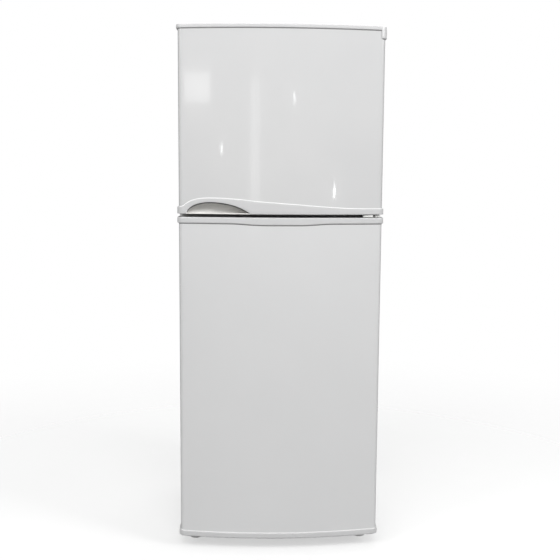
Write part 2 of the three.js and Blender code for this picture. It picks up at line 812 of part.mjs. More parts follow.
// The compressor: a welded steel pot on a foot plate.
const POT = { x: 60, y: 245, foot: 50, tall: 165, radius: 62, stretch: 1.25 };
function compressor() {
  const { x, y, foot: low, tall, radius, stretch } = POT;
  const seam = tall * 0.55;
  const profile = [
    [0, 0],
    [radius * 0.55, 2],
    [radius * 0.86, 14],
    [radius * 0.97, 38],
    [radius * 0.97, seam - 5],
    [radius, seam - 5],
    [radius, seam + 5],
    [radius * 0.97, seam + 5],
    [radius * 0.93, tall * 0.78],
    [radius * 0.72, tall * 0.93],
    [radius * 0.35, tall],
    [0, tall],
  ];
  const pot = turned(profile, 28).scale(stretch, 1, 1).translate(x, y, low);
  return join(pot, block([x - 95, x + 95], [y - 55, y + 55], [low - 2, low + 3]));
}

function relayCover() {
  const right = POT.x - POT.radius * POT.stretch - 0.6;
  return block([right - 34, right], [POT.y - 28, POT.y + 28], [92, 160]);
}

// Catches the melt water over the warm compressor.
function dripTray() {
  const low = POT.foot + POT.tall + GAP;
  return openBox([POT.x - 90, POT.x + 90], [POT.y - 58, POT.y + 60], [low, low + 26], 2.5);
}

const EVAPORATOR = { half: 200, front: 172, back: FREEZER.back - GAP, low: 1062, high: 1290, fins: 32 };
function evaporator() {
  const { half, front, back, low, high, fins } = EVAPORATOR;
  const pitch = (2 * half) / fins;
  const core = (front + back) / 2;
  const comb = [];
  for (let i = 0; i < fins; i += 1) {
    const x = -half + i * pitch;
    comb.push([x, front], [x + 2, front], [x + 2, core - 6], [x + pitch, core - 6]);
  }
  comb.push([half, front], [half + 2, front], [half + 2, back], [half, back]);
  for (let i = fins - 1; i >= 0; i -= 1) {
    const x = -half + i * pitch;
    comb.push([x + pitch, core + 6], [x + 2, core + 6], [x + 2, back], [x, back]);
  }
  const tidy = comb.filter(([u, v], i) => {
    const [pu, pv] = comb[(i + comb.length - 1) % comb.length];
    return Math.hypot(u - pu, v - pv) > 1e-6;
  });
  return alongZ(outline(tidy), low, high);
}

const FAN = { z: 1385, front: 162, back: 178, radius: 52, hub: 16, blades: 5 };
function fanMotor() {
  return join(
    deepBar(28, 0, 190, 222, FAN.z),
    deepBar(34, 0, 222, FREEZER.back - GAP, FAN.z),
    deepBar(3, 0, FAN.back - 8, 191, FAN.z, 12),
  );
}
function fan() {
  const { z, front, back, radius, hub, blades } = FAN;
  const middle = (front + back) / 2;
  const pitched = (i) =>
    new THREE.BoxGeometry(radius - hub + 4, 2, 30)
      .rotateX(0.45)
      .translate((radius + hub) / 2 - 2, 0, 0)
      .rotateY((2 * Math.PI * i) / blades)
      .translate(0, middle, z);
  const rotor = join(
    deepBar(hub, 0, front, back, z),
    ...Array.from({ length: blades }, (_, i) => pitched(i)),
  );
  return cut(rotor, deepBar(3.4, 0, back - 10, back + 5, z));
}

// ---------------------------------------------------------------- freezer compartment

const COVER = { front: 150, back: 153 };
const SLIDER = { z: 1126, slot: 34, tongue: 10 };

// The panel in front of the evaporator, with slots for the air and one for the air-flow slider.
function freezerBackCover() {
  const { front, back } = COVER;
  const half = FREEZER.half - 0.5;
  const through = [front - 1, back + 1];
  const outlets = Array.from({ length: 6 }, (_, i) =>
    block([-62, 62], through, [1346 + 15 * i, 1353 + 15 * i]),
  );
  const returns = [-1, 1].map((side) =>
    block([side * 120 - 65, side * 120 + 65], through, [1046, 1058]),
  );
  return cut(
    block([-half, half], [front, back], [FREEZER.floor + GAP, FREEZER.ceiling - GAP]),
    ...outlets,
    ...returns,
    block([-SLIDER.slot, SLIDER.slot], through, [SLIDER.z - 3, SLIDER.z + 3]),
  );
}

function airSlider() {
  const { z, tongue } = SLIDER;
  return join(
    block([-15, 15], [COVER.front - 9, COVER.front - GAP], [z - 9, z + 9]),
    block([-tongue, tongue], [COVER.front - 1, COVER.back + 4], [z - 2.4, z + 2.4]),
  );
}

function shelf(half, z, front, back) {
  return block([-half + 0.6, half - 0.6], [front, back], [z + GAP, z + SHELF.thick]);
}

const ICE = { x: -147, z: 1326, front: -132, back: 108, half: 55, deep: 30, pin: 4 };

// Two end plates on side rails, which hold the twisting ice tray over the freezer shelf.
function iceTrayFrame() {
  const low = SHELF.freezer + SHELF.thick + GAP;
  const y = [ICE.front - 9, ICE.back + 9];
  const x = [ICE.x - 80, ICE.x + 80];
  return cut(
    block(x, y, [low, ICE.z + 22]),
    block([x[0] + 4, x[1] - 4], [y[0] + 4, y[1] - 4], [low - 1, ICE.z + 30]),
    block([x[0] - 1, x[1] + 1], [y[0] + 20, y[1] - 20], [low + 12, ICE.z + 10]),
    deepBar(ICE.pin + 0.4, ICE.x, y[0] - 1, y[1] + 1, ICE.z),
  );
}

function iceTray() {
  const { x, z, front, back, half, deep, pin } = ICE;
  const rows = 6;
  const pitch = (back - front - 8) / rows;
  const cells = [];
  for (let row = 0; row < rows; row += 1) {
    const y = front + 4 + row * pitch;
    cells.push(block([x - half + 3, x - 2], [y + 2, y + pitch - 2], [z - 12, z + 20]));
    cells.push(block([x + 2, x + half - 3], [y + 2, y + pitch - 2], [z - 12, z + 20]));
  }
  return join(
    cut(block([x - half, x + half], [front, back], [z - 15, z + deep - 15]), ...cells),
    deepBar(pin, x, back - 2, back + 12, z, 16),
    deepBar(pin, x, front - 12, front + 2, z, 16),
    deepBar(15, x, front - 24, front - 10, z, 20),
    block([x - 2.5, x + 2.5], [front - 28, front - 23], [z - 14, z + 14]),
  );
}

// ---------------------------------------------------------------- refrigerator compartment

const BOX = { half: 130, front: -180, back: -20, low: 932 };
const KNOB = { x: 60, z: 949, radius: 15, front: -192 };
const SWITCH = { x: -92, z: 950, radius: 4, front: -201.4, back: -166 };
const LAMP = { x: [-112, -22], y: [-140, -25], low: 896 };

// Thermostat and lamp housing under the ceiling.
function controlBox() {
  const { half, front, back, low } = BOX;
  const ceiling = FRIDGE.ceiling - GAP;
  const section = outline([
    [front, ceiling],
    [front, low + 8],
    [front + 8, low],
    [back - 25, low],
    [back, low + 20],
    [back, ceiling],
  ]);
  return cut(
    alongX(section, -half, half),
    deepBar(SWITCH.radius + 0.4, SWITCH.x, front - 1, SWITCH.back + 6, SWITCH.z),
    deepBar(3.4, KNOB.x, front - 1, front + 14, KNOB.z),
  );
}

function thermostatKnob() {
  const { x, z, radius, front } = KNOB;
  return join(
    deepBar(radius, x, front + 3, BOX.front - GAP, z, 28),
    deepBar(radius - 3, x, front, front + 4, z, 28),
    block([x - 2, x + 2], [front - 2, front + 3], [z, z + radius - 1]),
    deepBar(3, x, BOX.front - 1, BOX.front + 12, z, 16),
  );
}

function lightSwitch() {
  const { x, z, radius, front, back } = SWITCH;
  return deepBar(radius, x, front, back, z);
}

function lampCover() {
  const { x, y, low } = LAMP;
  const high = BOX.low - GAP;
  return cut(
    block(x, y, [low, high]),
    block([x[0] + 2, x[1] - 2], [y[0] + 2, y[1] - 2], [low + 2, high + 1]),
  );
}

const DRAWER = { half: 235, front: -130, back: 80, low: FRIDGE.floor + 4, top: 302, wall: 3 };
function crisperDrawer() {
  const { half, front, back, low, top, wall } = DRAWER;
  return join(
    openBox([-half, half], [front, back], [low, top], wall),
    block([-90, 90], [front - 8, front + 1], [top - 34, top - 24]),
  );
}

const CHILL = { half: 215, front: -122, back: 200, tall: 53, wall: 3 };
function chillTray() {
  const { half, front, back, tall, wall } = CHILL;
  const low = SHELF.upper + SHELF.thick + GAP;
  return join(
    openBox([-half, half], [front, back], [low, low + tall], wall),
    block([-70, 70], [front - 6, front + 1], [low + tall - 12, low + tall - 4]),
  );
}

// ---------------------------------------------------------------- assembly

const cabinet = new THREE.Group();
cabinet.add(
  piece("side_panel_left", sidePanel(-1), whitePaint),
  piece("side_panel_right", sidePanel(1), whitePaint),
  piece("top_panel", topPanel(), whitePaint),
  piece("rear_panel", rearPanel(), zincSteel),
  piece("bottom_deck", bottomDeck(), zincSteel),
  piece("insulation_foam", insulation(), foam),
  piece("freezer_liner", freezerLiner(), linerPlastic),
  piece("fridge_liner", fridgeLiner(), linerPlastic),
  piece("mullion_rail", mullionRail(), whitePaint),
  piece("front_rail", frontRail(), zincSteel),
  piece("kick_plate", kickPlate(), darkPlastic),
  piece("foot_left", foot(-1), darkPlastic),
  piece("foot_right", foot(1), darkPlastic),
  piece("compressor_tray", compressorTray(), zincSteel),
  piece("roller_left", roller(-1), darkPlastic),
  piece("roller_right", roller(1), darkPlastic),
  piece("top_hinge", topHinge(), zincSteel),
  piece("top_hinge_cover", topHingeCover(), capPlastic),
  piece("middle_hinge", middleHinge(), whitePaint),
  piece("bottom_hinge", bottomHinge(), zincSteel),
);

const cooling = new THREE.Group();
cooling.add(
  piece("condenser", condenser(), blackEnamel),
  piece("compressor", compressor(), blackEnamel),
  piece("relay_cover", relayCover(), darkPlastic),
  piece("drip_tray", dripTray(), darkPlastic),
  piece("evaporator", evaporator(), aluminium),
  piece("fan_motor", fanMotor(), zincSteel),
  piece("evaporator_fan", fan(), darkPlastic),
);

const compartments = new THREE.Group();
compartments.add(
  piece("freezer_back_cover", freezerBackCover(), linerPlastic),
  piece("air_slider", airSlider(), darkPlastic),
  piece("freezer_shelf", shelf(FREEZER.half, SHELF.freezer, -150, 145), glass),
  piece("ice_tray_frame", iceTrayFrame(), linerPlastic),
  piece("ice_tray", iceTray(), clearPlastic),
  piece("control_box", controlBox(), linerPlastic),
  piece("thermostat_knob", thermostatKnob(), capPlastic),
  piece("light_switch", lightSwitch(), linerPlastic),
  piece("lamp_cover", lampCover(), clearPlastic),
  piece("shelf_upper", shelf(FRIDGE.half, SHELF.upper, -118, 240), glass),
  piece("shelf_lower", shelf(FRIDGE.half, SHELF.lower, -118, 240), glass),
  piece("crisper_cover", shelf(FRIDGE.half, SHELF.crisper, -118, 240), glass),
  piece("crisper_drawer", crisperDrawer(), clearPlastic),
  piece("chill_tray", chillTray(), clearPlastic),
);

const refrigerator = new THREE.Group();
refrigerator.add(cabinet, cooling, compartments, freezerDoor(), fridgeDoor());

export default refrigerator;
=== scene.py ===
import bmesh
import bpy
import numpy as np
from mathutils import Euler, Matrix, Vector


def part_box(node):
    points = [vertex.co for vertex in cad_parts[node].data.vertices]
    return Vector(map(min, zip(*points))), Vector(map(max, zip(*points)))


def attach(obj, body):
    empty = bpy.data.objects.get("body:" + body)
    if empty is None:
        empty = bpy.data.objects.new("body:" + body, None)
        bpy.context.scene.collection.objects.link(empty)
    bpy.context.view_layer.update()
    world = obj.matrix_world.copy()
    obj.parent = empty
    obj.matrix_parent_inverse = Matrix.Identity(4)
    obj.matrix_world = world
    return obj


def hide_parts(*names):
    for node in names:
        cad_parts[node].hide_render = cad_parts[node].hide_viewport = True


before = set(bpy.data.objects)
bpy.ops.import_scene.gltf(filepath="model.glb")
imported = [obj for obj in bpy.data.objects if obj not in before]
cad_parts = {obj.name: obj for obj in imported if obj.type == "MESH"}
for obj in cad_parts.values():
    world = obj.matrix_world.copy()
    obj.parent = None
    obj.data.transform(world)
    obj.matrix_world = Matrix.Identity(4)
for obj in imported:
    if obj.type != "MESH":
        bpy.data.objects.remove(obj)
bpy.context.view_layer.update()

# ---------------------------------------------------------------- the room
# The refrigerator stands on a round pale floor that fades out into plain white. Soft lights hang in
# front, overhead, at both sides and behind, and the freezer door's polish mirrors three small lamps
# and two windows. The camera is at eye height, just left of the middle, and looks a little down.


def quads(rows, columns, around):
    """Corner numbers of the quads between neighbouring rows and columns of a grid of points.
    With around, the last column joins the first."""
    row, column = np.meshgrid(
        np.arange(rows - 1), np.arange(columns if around else columns - 1), indexing="ij"
    )
    first = row * columns + column
    second = row * columns + (column + 1) % columns
    return np.stack([first, second, second + columns, first + columns], -1).reshape(-1, 4)


def make(name, *grids, sharp=32):
    """One mesh from grids of points, each rows by columns by 3. A grid is closed round its columns
    unless it comes as (points, False). Rows drawn together to a point are welded, so they close it.
    Edges that turn more than sharp degrees stay sharp."""
    weld = 2e-6
    points, faces, count = [], [], 0
    for grid in grids:
        grid, closed = grid if isinstance(grid, tuple) else (grid, True)
        rows, columns = grid.shape[:2]
        points.append(grid.reshape(-1, 3))
        faces.append(quads(rows, columns, closed) + count)
        count += rows * columns
    mesh = bpy.data.meshes.new(name)
    mesh.from_pydata(np.concatenate(points).tolist(), [], np.concatenate(faces).tolist())
    shape = bmesh.new()
    shape.from_mesh(mesh)
    bmesh.ops.remove_doubles(shape, verts=shape.verts, dist=weld)
    bmesh.ops.dissolve_degenerate(shape, edges=shape.edges, dist=weld / 2)
    bmesh.ops.recalc_face_normals(shape, faces=shape.faces)
    shape.to_mesh(mesh)
    shape.free()
    mesh.shade_smooth()
    mesh.set_sharp_from_angle(angle=np.radians(sharp))
    piece = bpy.data.objects.new(name, mesh)
    bpy.context.scene.collection.objects.link(piece)
    return piece


class Link:
    """An output of a shader node. + - * / and ** with numbers or other links add Math nodes."""

    def __init__(self, paint, socket):
        """Keeps the material that the output belongs to, and the output."""
        self.paint = paint
        self.socket = socket

    def worked(self, operation, *values):
        """The named operation of a Math node on the values, in their order."""
        return self.paint.node("Math", {"operation": operation}, dict(enumerate(values)))

    def __add__(self, other):
        """This plus the other."""
        return self.worked("ADD", self, other)

    def __sub__(self, other):
        """This less the other."""
        return self.worked("SUBTRACT", self, other)

    def __rsub__(self, other):
        """The other less this."""
        return self.worked("SUBTRACT", other, self)

    def __mul__(self, other):
        """This times the other."""
        return self.worked("MULTIPLY", self, other)

    def __truediv__(self, other):
        """This divided by the other."""
        return self.worked("DIVIDE", self, other)

    def __pow__(self, other):
        """This to the power of the other."""
        return self.worked("POWER", self, other)

    __radd__ = __add__
    __rmul__ = __mul__


class Paint:
    """A material with one Principled shader. node() adds any other node and gives its output."""

    def __init__(self, name):
        """Makes the material, and keeps its shader and the object coordinates."""
        self.material = bpy.data.materials.new(name)
        self.material.use_nodes = True
        self.tree = self.material.node_tree
        self.shader = self.tree.nodes["Principled BSDF"]
        self.place = self.node("TexCoord", output="Object")

    def set(self, socket, value):
        """Fills the shader's input of that name, whatever its capitals."""
        found = {s.name.lower(): s for s in self.shader.inputs}[socket.lower()]
        self.fill(found, value)

    def fill(self, socket, value):
        """Links an output to the socket, or sets its value; a colour gets an alpha of 1."""
        if isinstance(value, Link):
            self.tree.links.new(value.socket, socket)
        elif socket.type == "RGBA" and len(value) == 3:
            socket.default_value = (*value, 1)
        else:
            socket.default_value = value

    def node(self, kind, settings=None, inputs=None, output=0):
        """Adds a node of a kind, with its settings and its inputs, and gives one of its outputs."""
        made = self.tree.nodes.new("ShaderNode" + kind)
        for key, value in (settings or {}).items():
            setattr(made, key, value)
        for key, value in (inputs or {}).items():
            self.fill(made.inputs[key], value)
        return Link(self, made.outputs[output])

    def noise(self, scale, detail=2.0, roughness=0.5, stretch=None):
        """Smooth noise with about scale lumps to the metre, stretched by a factor for each axis."""
        vector = self.place
        if stretch:
            vector = self.node("Mapping", None, {"Vector": self.place, "Scale": stretch})
        inputs = {"Vector": vector, "Scale": scale, "Detail": detail, "Roughness": roughness}
        return self.node("TexNoise", None, inputs)

    def between(self, amount, low, high, start=0.35, end=0.65, curve="LINEAR"):
        """A value from low to high as amount goes from start to end."""
        inputs = {0: amount, 1: start, 2: end, 3: low, 4: high}
        return self.node("MapRange", {"interpolation_type": curve}, inputs)

    def tint(self, amount, first, second):
        """A colour from first to second as amount goes from 0 to 1."""
        return self.node("Mix", {"data_type": "RGBA"}, {0: amount, 6: first, 7: second}, output=2)

    def bump(self, height, depth):
        """Raises the surface by up to depth metres where height is 1."""
        return self.node("Bump", None, {"Distance": depth, "Height": height})


around_floor = np.linspace(0, 2 * np.pi, 64, endpoint=False)
floor_reach = np.linspace(0, 4, 12)[:, None]
floor_x, floor_y = floor_reach * np.cos(around_floor), floor_reach * np.sin(around_floor)
room = make("room_floor", np.stack([floor_x, floor_y, np.zeros((12, 64))], -1), sharp=60)
chalk = Paint("pale floor")
spot = chalk.node("VectorMath", {"operation": "LENGTH"}, {0: chalk.place}, output=1)
cabinet_middle = (0, 0.08, 0)
under = chalk.node("VectorMath", {"operation": "DISTANCE"}, {0: chalk.place, 1: cabinet_middle}, 1)
fading = chalk.between(spot, 0.45, 0.0, 0.5, 2.6, "SMOOTHSTEP")
chalk.set("Alpha", fading + chalk.between(under, 0.55, 0.0, 0.25, 0.33, "SMOOTHSTEP"))
chalk.set("Roughness", chalk.between(chalk.noise(9.0, 4.0), 0.7, 0.8))
chalk.set("Base Color", chalk.tint(chalk.noise(3.0, 4.0), (0.88, 0.88, 0.88), (0.91, 0.91, 0.91)))
chalk.set("Normal", chalk.bump(chalk.noise(160.0, 3.0), 0.0004))
room.data.materials.append(chalk.material)
bpy.context.scene.view_settings.view_transform = "Standard"

world = bpy.data.worlds.new("soft daylight")
bpy.context.scene.world = world
world.use_nodes = True
world_tree = world.node_tree
glow = world_tree.nodes["Background"]
glow.inputs["Color"].default_value = (1.0, 1.0, 1.0, 1)
seen_straight = world_tree.nodes.new("ShaderNodeLightPath").outputs["Is Camera Ray"]
lift = world_tree.nodes.new("ShaderNodeMapRange")
lift.inputs["To Min"].default_value = 0.34
lift.inputs["To Max"].default_value = 1.0
world_tree.links.new(seen_straight, lift.inputs[0])
world_tree.links.new(lift.outputs[0], glow.inputs["Strength"])


def soft_light(name, at, look_at, size, power, spread=180):
    """A rectangular panel of light at one point, facing another, that does not show itself. spread
    is the angle of its beam in degrees."""
    lamp = bpy.data.lights.new(name, "AREA")
    lamp.shape = "RECTANGLE"
    lamp.size, lamp.size_y = size
    lamp.energy = power
    lamp.spread = np.radians(spread)
    held = bpy.data.objects.new(name, lamp)
    bpy.context.scene.collection.objects.link(held)
    held.location = at
    ahead = np.array(at, float) - np.array(look_at, float)
    ahead = ahead / np.linalg.norm(ahead)
    side = np.cross((0, 0, 1), ahead)
    side = side / np.linalg.norm(side)
    held.rotation_euler = Matrix(
        np.stack([side, np.cross(ahead, side), ahead], 1).tolist()
    ).to_euler()
    held.visible_camera = False


soft_light("front light", (-0.4, -3.2, 3.6), (0, 0, 1.45), (3.2, 1.6), 39, 110)
soft_light("overhead light", (0.3, 0.1, 5.0), (0.0, 0.0, 0.0), (4.0, 4.0), 37)
soft_light("right fill", (3.5, -2.4, 3.1), (0, 0, 1.6), (1.4, 2.0), 55, 120)
soft_light("left fill", (-3.1, -2.8, 3.1), (0, 0, 1.6), (1.4, 2.0), 38, 120)
soft_light("back light", (0.6, 3.0, 4.2), (0, 0, 0.6), (3.0, 2.0), 44)

pitch, roll, yaw = np.radians([-7.08, -0.39, -2.35])
turn = Euler((0, 0, yaw)).to_matrix() @ Euler((pitch, 0, 0)).to_matrix()
right, ahead, up = (turn @ Euler((0, roll, 0)).to_matrix()).transposed()
eye = bpy.data.cameras.new("camera")
eye.sensor_width = 36
eye.lens = 58.2
camera = bpy.data.objects.new("camera", eye)
bpy.context.scene.collection.objects.link(camera)
camera.matrix_world = Matrix(
    [
        (right[0], up[0], -ahead[0], -0.109),
        (right[1], up[1], -ahead[1], -2.916),
        (right[2], up[2], -ahead[2], 1.141),
        (0, 0, 0, 1),
    ]
)
bpy.context.scene.camera = camera


curve_centre = 1.3632  # from the doors' back to the middle of the circle their fronts follow
door_curve = curve_centre + 0.081  # that circle's radius


def door_front(x):
    """How far back the front of either door is at x, on that circle."""
    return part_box("freezer_door_skin")[1].y + curve_centre - np.sqrt(door_curve**2 - x**2)


def glint(name, x, z, size, radiance, away=2.5):
    """A small lamp placed where the freezer door mirrors it to the camera, at x and z on the door's
    front: the way from the camera is turned back about the door's outward direction there."""
    spot = np.array([x, door_front(x), z])
    outward = np.array([x, -np.sqrt(door_curve**2 - x**2), 0]) / door_curve
    way = spot - np.array(camera.matrix_world.translation)
    way = way / np.linalg.norm(way)
    back = way - 2 * (way @ outward) * outward
    soft_light(name, spot + away * back, spot, size, radiance * np.pi * size[0] * size[1])


for i, (x, z, radiance) in enumerate([(0.152, 1.073, 24), (-0.17, 1.193, 12), (0.035, 1.336, 9)]):
    glint(f"shop lamp {i}", x, z, (0.03, 0.06), radiance)
glint("window", -0.24, 1.365, (0.4, 0.16), 2.6)
glint("window strip", -0.076, 1.16, (0.14, 0.9), 1.3)

# ---------------------------------------------------------------- door skins
# Each door's skin is one sheet of 1.2 mm steel, pressed to a shallow curve, turned round both sides
# and a little way across the back, and painted white. The freezer's has been polished to a gloss.

door_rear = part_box("freezer_door_skin")[1].y
freezer_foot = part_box("freezer_door_bottom_cap")[0].z
freezer_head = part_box("freezer_door_top_cap")[1].z
fridge_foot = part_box("fridge_door_bottom_cap")[0].z
fridge_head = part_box("fridge_door_top_cap")[1].z


def door_plan(half, bulge, corner, across=120, bend=10, side=5):
    """The plan of a door from its rear left edge round the front to its rear right edge, with each
    point's outward direction. The front is an arc of one circle, standing bulge in front of the
    door's back in the middle, and each front corner is a small arc that meets it and the side.
    across is how many points the front has, or where they stand from left to right."""
    radius = curve_centre + bulge
    turn = np.arcsin((half - corner) / (radius - corner))
    middle = np.array([half - corner, curve_centre - (radius - corner) * np.cos(turn)])
    angle = np.linspace(turn - np.pi / 2, 0, bend)
    corner_out = np.stack([np.cos(angle), np.sin(angle)], -1)
    corner_line = middle + corner * corner_out
    side_y = np.linspace(middle[1], 0, side)[1:]
    side_line = np.stack([np.full(side - 1, half), side_y], -1)
    side_out = np.stack([np.ones(side - 1), np.zeros(side - 1)], -1)
    if np.ndim(across):
        across = np.asarray(across)
        inside = across[np.abs(across) < radius * np.sin(turn) - 0.0005]
        along = np.arcsin(inside / radius)
    else:
        along = np.linspace(-turn, turn, across)[1:-1]
    front_out = np.stack([np.sin(along), -np.cos(along)], -1)
    front_line = radius * front_out + (0, curve_centre)
    flip = np.array([-1, 1])
    line = [side_line[::-1] * flip, corner_line[::-1] * flip, front_line, corner_line, side_line]
    out = [side_out * flip, corner_out[::-1] * flip, front_out, corner_out, side_out]
    return np.concatenate(line) + (0, door_rear), np.concatenate(out)


def mm(points, at=0):
    """Points given in mm, turned into metres and moved by at, which is in metres."""
    return list(np.array(points) / 1000 + at)


def bezier(curves, steps):
    """Points along a run of cubic curves, each given in mm by a start, two handles and an end: t
    from 0 to 1 weighs the four by (1 - t) cubed, 3 (1 - t)^2 t, 3 (1 - t) t^2 and t cubed."""
    t = np.linspace(0, 1, steps)[:, None]
    parts = []
    for curve in curves:
        first, leave, arrive, last = (np.array(point) for point in curve)
        near = (1 - t) ** 3 * first + 3 * (1 - t) ** 2 * t * leave
        parts.append(near + 3 * (1 - t) * t**2 * arrive + t**3 * last)
    return np.concatenate(parts) / 1000


# The line where the freezer skin ends: up over the grip, then down towards the hinges.
sweep_line = bezier(
    [
        ((-310, 21), (-303, 21), (-296, 21), (-290, 21)),
        ((-290, 21), (-270, 24), (-275, 46), (-205, 46.5)),
        ((-205, 46.5), (-130, 47), (-100, 39), (-40, 35)),
        ((-40, 35), (60, 29), (150, 18), (235, 17.5)),
        ((235, 17.5), (260, 17.5), (285, 17.5), (310, 17.5)),
    ],
    30,
)
# The line where the refrigerator skin ends: the upper cap bellies down in the middle.
belly_line = bezier(
    [
        ((-160, 18), (-110, 18), (-90, 22.5), (-50, 22.5)),
        ((50, 22.5), (90, 22.5), (110, 18), (160, 18)),
    ],
    16,
)


def over_grip(x):
    """The height of the sweep line at x, in straight steps between its points."""
    return freezer_foot + np.interp(x, sweep_line[:, 0], sweep_line[:, 1])


def under_belly(x):
    """The height of the belly line at x: the upper cap's top less its depth there."""
    return fridge_head - np.interp(x, belly_line[:, 0], belly_line[:, 1])


def thicken(piece, depth, offset=-1):
    """Gives a sheet its thickness; offset -1 grows it inwards and 1 outwards. Its open edges, which
    only one face has, stay sharp."""
    mesh = piece.data
    used = np.empty(len(mesh.loops), int)
    mesh.loops.foreach_get("edge_index", used)
    hard = np.empty(len(mesh.edges), bool)
    mesh.edges.foreach_get("use_edge_sharp", hard)
    mesh.edges.foreach_set("use_edge_sharp", hard | (np.bincount(used, minlength=len(hard)) == 1))
    wall = piece.modifiers.new("thickness", "SOLIDIFY")
    wall.thickness = depth
    wall.offset = offset
    wall.use_even_offset = True
    return piece


def settle(piece, body, paint, slot, *replaced):
    """Paints a piece, and says what it moves with and what it stands for. slot, its finish, is not
    used.
    """
    piece.data.materials.append(paint.material)
    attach(piece, body)
    if replaced:
        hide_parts(*replaced)


def add(name, body, paint, slot, *grids, sharp=32, stands_for=None):
    """Makes a piece and settles it. It stands for the frame's solid of its own name, or for the one
    that stands_for names, and for none where stands_for is empty."""
    piece = make(name, *grids, sharp=sharp)
    stands_for = name if stands_for is None else stands_for
    settle(piece, body, paint, slot, *([stands_for] if stands_for else []))


def skin(name, low, high):
    """Carries the door's plan from a lower line up to an upper one, both functions of x, and turns
    each rear edge 11 mm across the back."""
    line, _ = door_plan(0.295, 0.081, 0.014, across=150)
    hem = np.array([[-0.2842, door_rear], [-0.2925, door_rear]])
    line = np.concatenate([hem, line, hem[::-1] * (-1, 1)])
    up = np.linspace(0, 1, 48)[:, None]
    height = low(line[:, 0]) * (1 - up) + high(line[:, 0]) * up
    across = np.broadcast_to(line[:, None].transpose(1, 0, 2), (*height.shape, 2))
    piece = make(name, (np.concatenate([across, height[..., None]], -1), False), sharp=60)
    return thicken(piece, 0.0012)


def enamel(name, colour, shade, roughness, ripple, coat=(0.35, 0.08), edge_shade=0.72):
    """Sprayed paint on steel: a fine orange-peel ripple, a slow drift of tone and of gloss, faint
    handling marks, a few specks of dust, and painted shade, a darker tone where the door's sides
    fold."""
    paint = Paint(name)
    drift = paint.noise(2.3, 3.0)
    marks = paint.noise(7.0, 5.0, 0.62, stretch=(1.0, 1.0, 0.6))
    specks = paint.node("TexVoronoi", None, {"Vector": paint.place, "Scale": 70.0})
    dust = paint.between(specks, 1.0, 0.0, 0.02, 0.05)
    worn = [0.985 * value for value in colour]
    body = paint.tint(paint.between(drift, 0.0, 1.0), colour, shade)
    body = paint.tint(paint.between(marks, 0.0, 1.0, 0.45, 0.9), body, worn)
    # Painted shade: where the door's sides fold round, the paint is mixed towards half its colour,
    # by up to edge_shade.
    across = paint.node("SeparateXYZ", None, {0: paint.place})
    painted_edge_shade = paint.between(across.worked("ABSOLUTE", across), 0.0, edge_shade, 0.2915, 0.294)
    body = paint.tint(painted_edge_shade, body, [0.5 * value for value in colour])
    paint.set("Base Color", paint.tint(dust * 0.18, body, (0.42, 0.42, 0.4)))
    paint.set(
        "Roughness", paint.between(marks, roughness * 0.92, roughness * 1.15, 0.3, 0.8) + dust * 0.1
    )
    peel = paint.noise(420.0, 2.0)
    wave = paint.noise(70.0, 2.0)
    paint.set("Normal", paint.bump(peel * 0.6 + wave, ripple))
    paint.set("Coat Weight", coat[0])
    paint.set("Coat Roughness", coat[1])
    return paint


gloss_white = enamel(
    "freezer gloss white", (0.53, 0.53, 0.53), (0.505, 0.507, 0.51), 0.14, 0.000008, (0.7, 0.04)
)
satin_white = enamel(
    "refrigerator satin white", (0.565, 0.566, 0.567), (0.545, 0.547, 0.549), 0.3, 0.00004
)

freezer_skin = skin("freezer_skin", over_grip, lambda x: np.full(len(x), freezer_head - 0.0106))
settle(freezer_skin, "freezer_door", gloss_white, "white_painted_steel", "freezer_door_skin")
fridge_skin = skin("fridge_skin", lambda x: np.full(len(x), fridge_foot + 0.018), under_belly)
settle(fridge_skin, "fridge_door", satin_white, "white_painted_steel", "fridge_door_skin")

# ---------------------------------------------------------------- door end caps and the grip
# A moulded cap in satin white ABS closes each end of both doors. The freezer's lower cap sweeps
# over a grey cup for the fingers; its upper cap has a sunken deck for the hinge arm, and a lug. The
# refrigerator's upper cap hides a finger trough behind its front edge.

cap_bulge = 0.083
arch_line = bezier(
    [
        ((-272, 0), (-272, 20), (-240, 34), (-205, 34)),
        ((-205, 34), (-150, 34), (-111, 18), (-86, 0)),
    ],
    26,
)


def arch(x):
    """How high the opening over the grip is at x, above the cap's foot, and 0 beside it."""
    return np.interp(x, arch_line[:, 0], arch_line[:, 1], 0, 0)


def cap_front(x, half=0.3, bulge=cap_bulge, corner=0.019):
    """How far back a cap's front face is at x: on the big circle, or on the corner's arc."""
    radius = curve_centre + bulge
    turn = np.arcsin((half - corner) / (radius - corner))
    middle = curve_centre - (radius - corner) * np.cos(turn)
    x = np.abs(x)
    big = curve_centre - np.sqrt(radius**2 - np.minimum(x, radius * np.sin(turn)) ** 2)
    past = np.clip(x - (half - corner), 0, corner)
    return door_rear + np.where(
        x < radius * np.sin(turn), big, middle - np.sqrt(corner**2 - past**2)
    )


